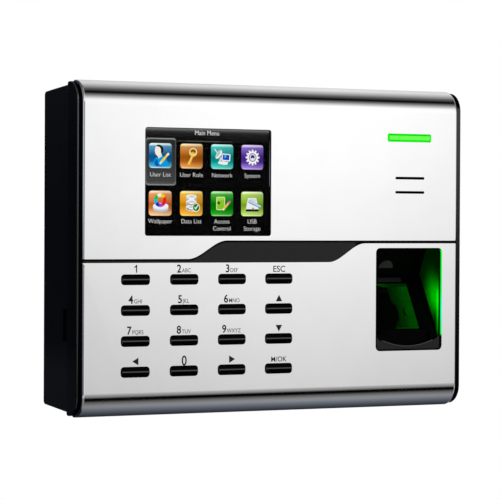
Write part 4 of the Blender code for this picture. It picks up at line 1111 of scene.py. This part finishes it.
# ---- studio
# Light round the object as (degrees from straight ahead, brightness, extra blue): up is positive and
# behind is 180.
STUDIO = (
    (-180, 0.08), (-160, 0.025, 0.01), (-136, 0.03, 0.017), (-120, 0.051, 0.022), (-104, 0.086, 0.03),
    (-88, 0.14, 0.038), (-76, 0.20, 0.05), (-66, 0.255, 0.042), (-57, 0.25, 0.015), (-48, 0.19), (-40, 0.10),
    (-35, 0.02), (-31, 0.0), (-20, 0.0), (-16, 0.09), (-12, 0.25), (-7, 0.48), (-4.2, 0.68), (-2, 0.82),
    (0, 0.97), (3, 1.12), (11, 1.12), (19, 1.02), (27, 0.74), (39, 0.26), (48, 0.04), (53, 0.0),
    (59, 0.005), (75, 0.12), (99, 0.50), (122, 0.80), (180, 0.66),
)
BRIGHTEST = 1.12
# Soft light that polished metal sees elsewhere, in the same way.
OPEN = (
    (-180, 0.55), (-140, 0.4), (-100, 0.4), (-60, 0.62), (-33, 0.74), (-10, 0.80), (15, 0.84), (32, 0.6),
    (46, 0.2), (58, 0.2), (80, 0.4), (180, 0.4),
)
# Shares of the studio's light from left to right, as the level part of a direction: right is 1.
ACROSS = (
    (-1.0, (0.56, 0.60, 0.68)), (-0.93, (0.44, 0.48, 0.55)), (-0.85, (0.26, 0.28, 0.33)),
    (-0.45, (0.16, 0.17, 0.19)), (-0.05, (0.26, 0.26, 0.27)),
    *greys((0.2, 0.60), (0.33, 0.78), (0.40, 0.78), (0.45, 0.91), (0.49, 1.0), (0.52, 1.0), (0.55, 0.915)),
    *greys((0.60, 0.82), (1.0, 0.78)),
)


def panels(tree, share, table):
    """The light of a table of panels, as a colour of which BRIGHTEST is 1."""
    stops = []
    for angle, value, *blue in table:
        extra = blue[0] if blue else 0.0
        colour = (value, value + extra / 3, value + extra)
        stops.append(((angle + 180) / 360, tuple(part / BRIGHTEST for part in colour)))
    return tree.ramp(share, stops)


def build_world():
    """A studio of soft panels whose brightness changes mostly with height, round a level axis."""
    world = bpy.data.worlds.new("studio")
    bpy.context.scene.world = world
    tree = Tree(world)
    across, away, up = tree.split(tree.add("TexCoord").outputs["Generated"])
    ahead = tree.product(away, -1.0)
    share = tree.math("MULTIPLY_ADD", tree.math("ARCTAN2", up, ahead), 0.5 / math.pi, 0.5)
    side = tree.math("MULTIPLY_ADD", across, 0.5, 0.5)
    lit_side = tree.math("MAXIMUM", tree.span(across, -0.15, 0.2), tree.span(ahead, -0.6, -0.2))
    studio = tree.tint(panels(tree, share, STUDIO), tree.ramp(side, [((x + 1) / 2, c) for x, c in ACROSS]))
    studio = tree.mix(lit_side, (0.03, 0.033, 0.045), studio)

    path = tree.add("LightPath")
    beside = tree.math("MAXIMUM", tree.span(across, 0.33, 0.25), tree.span(across, 0.62, 0.72))
    outer = tree.math("MAXIMUM", tree.span(across, -0.13, -0.2), tree.span(across, 0.5, 0.6))
    level = tree.span(tree.math("ABSOLUTE", up), 0.17, 0.1)
    kept_dim = tree.product(outer, level)
    front = tree.product(beside, tree.span(ahead, 0.1, 0.4), tree.math("SUBTRACT", 1.0, kept_dim))
    right_rear = tree.span(across, 0.57, 0.64)
    rear = tree.product(right_rear, tree.span(ahead, -0.3, -0.5), tree.span(up, -0.1, -0.17))
    beyond = tree.product(tree.math("MAXIMUM", front, rear), path.outputs["Is Glossy Ray"])
    light = tree.mix(beyond, studio, panels(tree, share, OPEN))
    seen = tree.add("Background", {"Color": light, "Strength": BRIGHTEST})
    white = tree.add("Background", {"Color": (1.0, 1.0, 1.0, 1.0), "Strength": 1.0})
    both = tree.add("MixShader", {0: path.outputs["Is Camera Ray"]})
    tree.links.new(seen.outputs[0], both.inputs[1])
    tree.links.new(white.outputs[0], both.inputs[2])
    tree.links.new(both.outputs[0], tree.add("OutputWorld").inputs["Surface"])


def add_panel_light(name, place, size, power):
    """A soft square lamp that faces the terminal."""
    lamp = bpy.data.lights.new(name, "AREA")
    lamp.shape = "RECTANGLE"
    lamp.size = lamp.size_y = size
    lamp.energy = power
    obj = new_object(name, lamp)
    obj.location = place
    obj.rotation_euler = (-Vector(place)).to_track_quat("-Z", "Y").to_euler()
    obj.visible_glossy = False
    obj.visible_camera = False


def build_floor():
    """A wide pale floor well below the terminal, which hangs on a wall."""
    height, radius, sides = -0.6, 3.0, 96
    bm = bmesh.new()
    angles = [2 * math.pi * i / sides for i in range(sides)]
    bm.faces.new([bm.verts.new((radius * math.cos(a), radius * math.sin(a), height)) for a in angles])
    floor = new_object("floor", mesh_from(bm, "floor"))
    pale = finish("pale_floor", (0.86, 0.86, 0.85), 0.8, specular=0.1, grain=6.0, relief=0.02, mottle=0.01,
                  patch=300.0)
    floor.data.materials.append(pale)
    floor.visible_glossy = False


def build_camera():
    data = bpy.data.cameras.new("camera")
    data.lens = 186.48
    data.sensor_width = 36.0
    data.clip_start = 0.01
    camera = new_object("camera", data)
    yaw, pitch, roll = (math.radians(angle) for angle in (-29.217, -0.641, 0.274))
    turn = Matrix.Rotation(yaw, 4, "Z") @ Matrix.Rotation(math.radians(90) + pitch, 4, "X")
    turn = turn @ Matrix.Rotation(roll, 4, "Z")
    camera.matrix_world = Matrix.Translation((-0.526354, -0.958382, 0.011258)) @ turn
    bpy.context.scene.camera = camera


def build_studio():
    build_world()
    build_floor()
    build_camera()
    add_panel_light("overhead", (0.0, -0.2, 2.2), 2.4, 60.0)
    add_panel_light("front_left", (-1.4, -1.6, 0.9), 1.2, 8.0)
    bpy.context.scene.view_settings.view_transform = "Standard"
    bpy.context.scene.view_settings.look = "None"


# ---- everything
build_studio()
dress_nodes()
build_trim_face()
build_legends()
build_picture()
build_well_details()
build_usb_tongue()
build_spring()
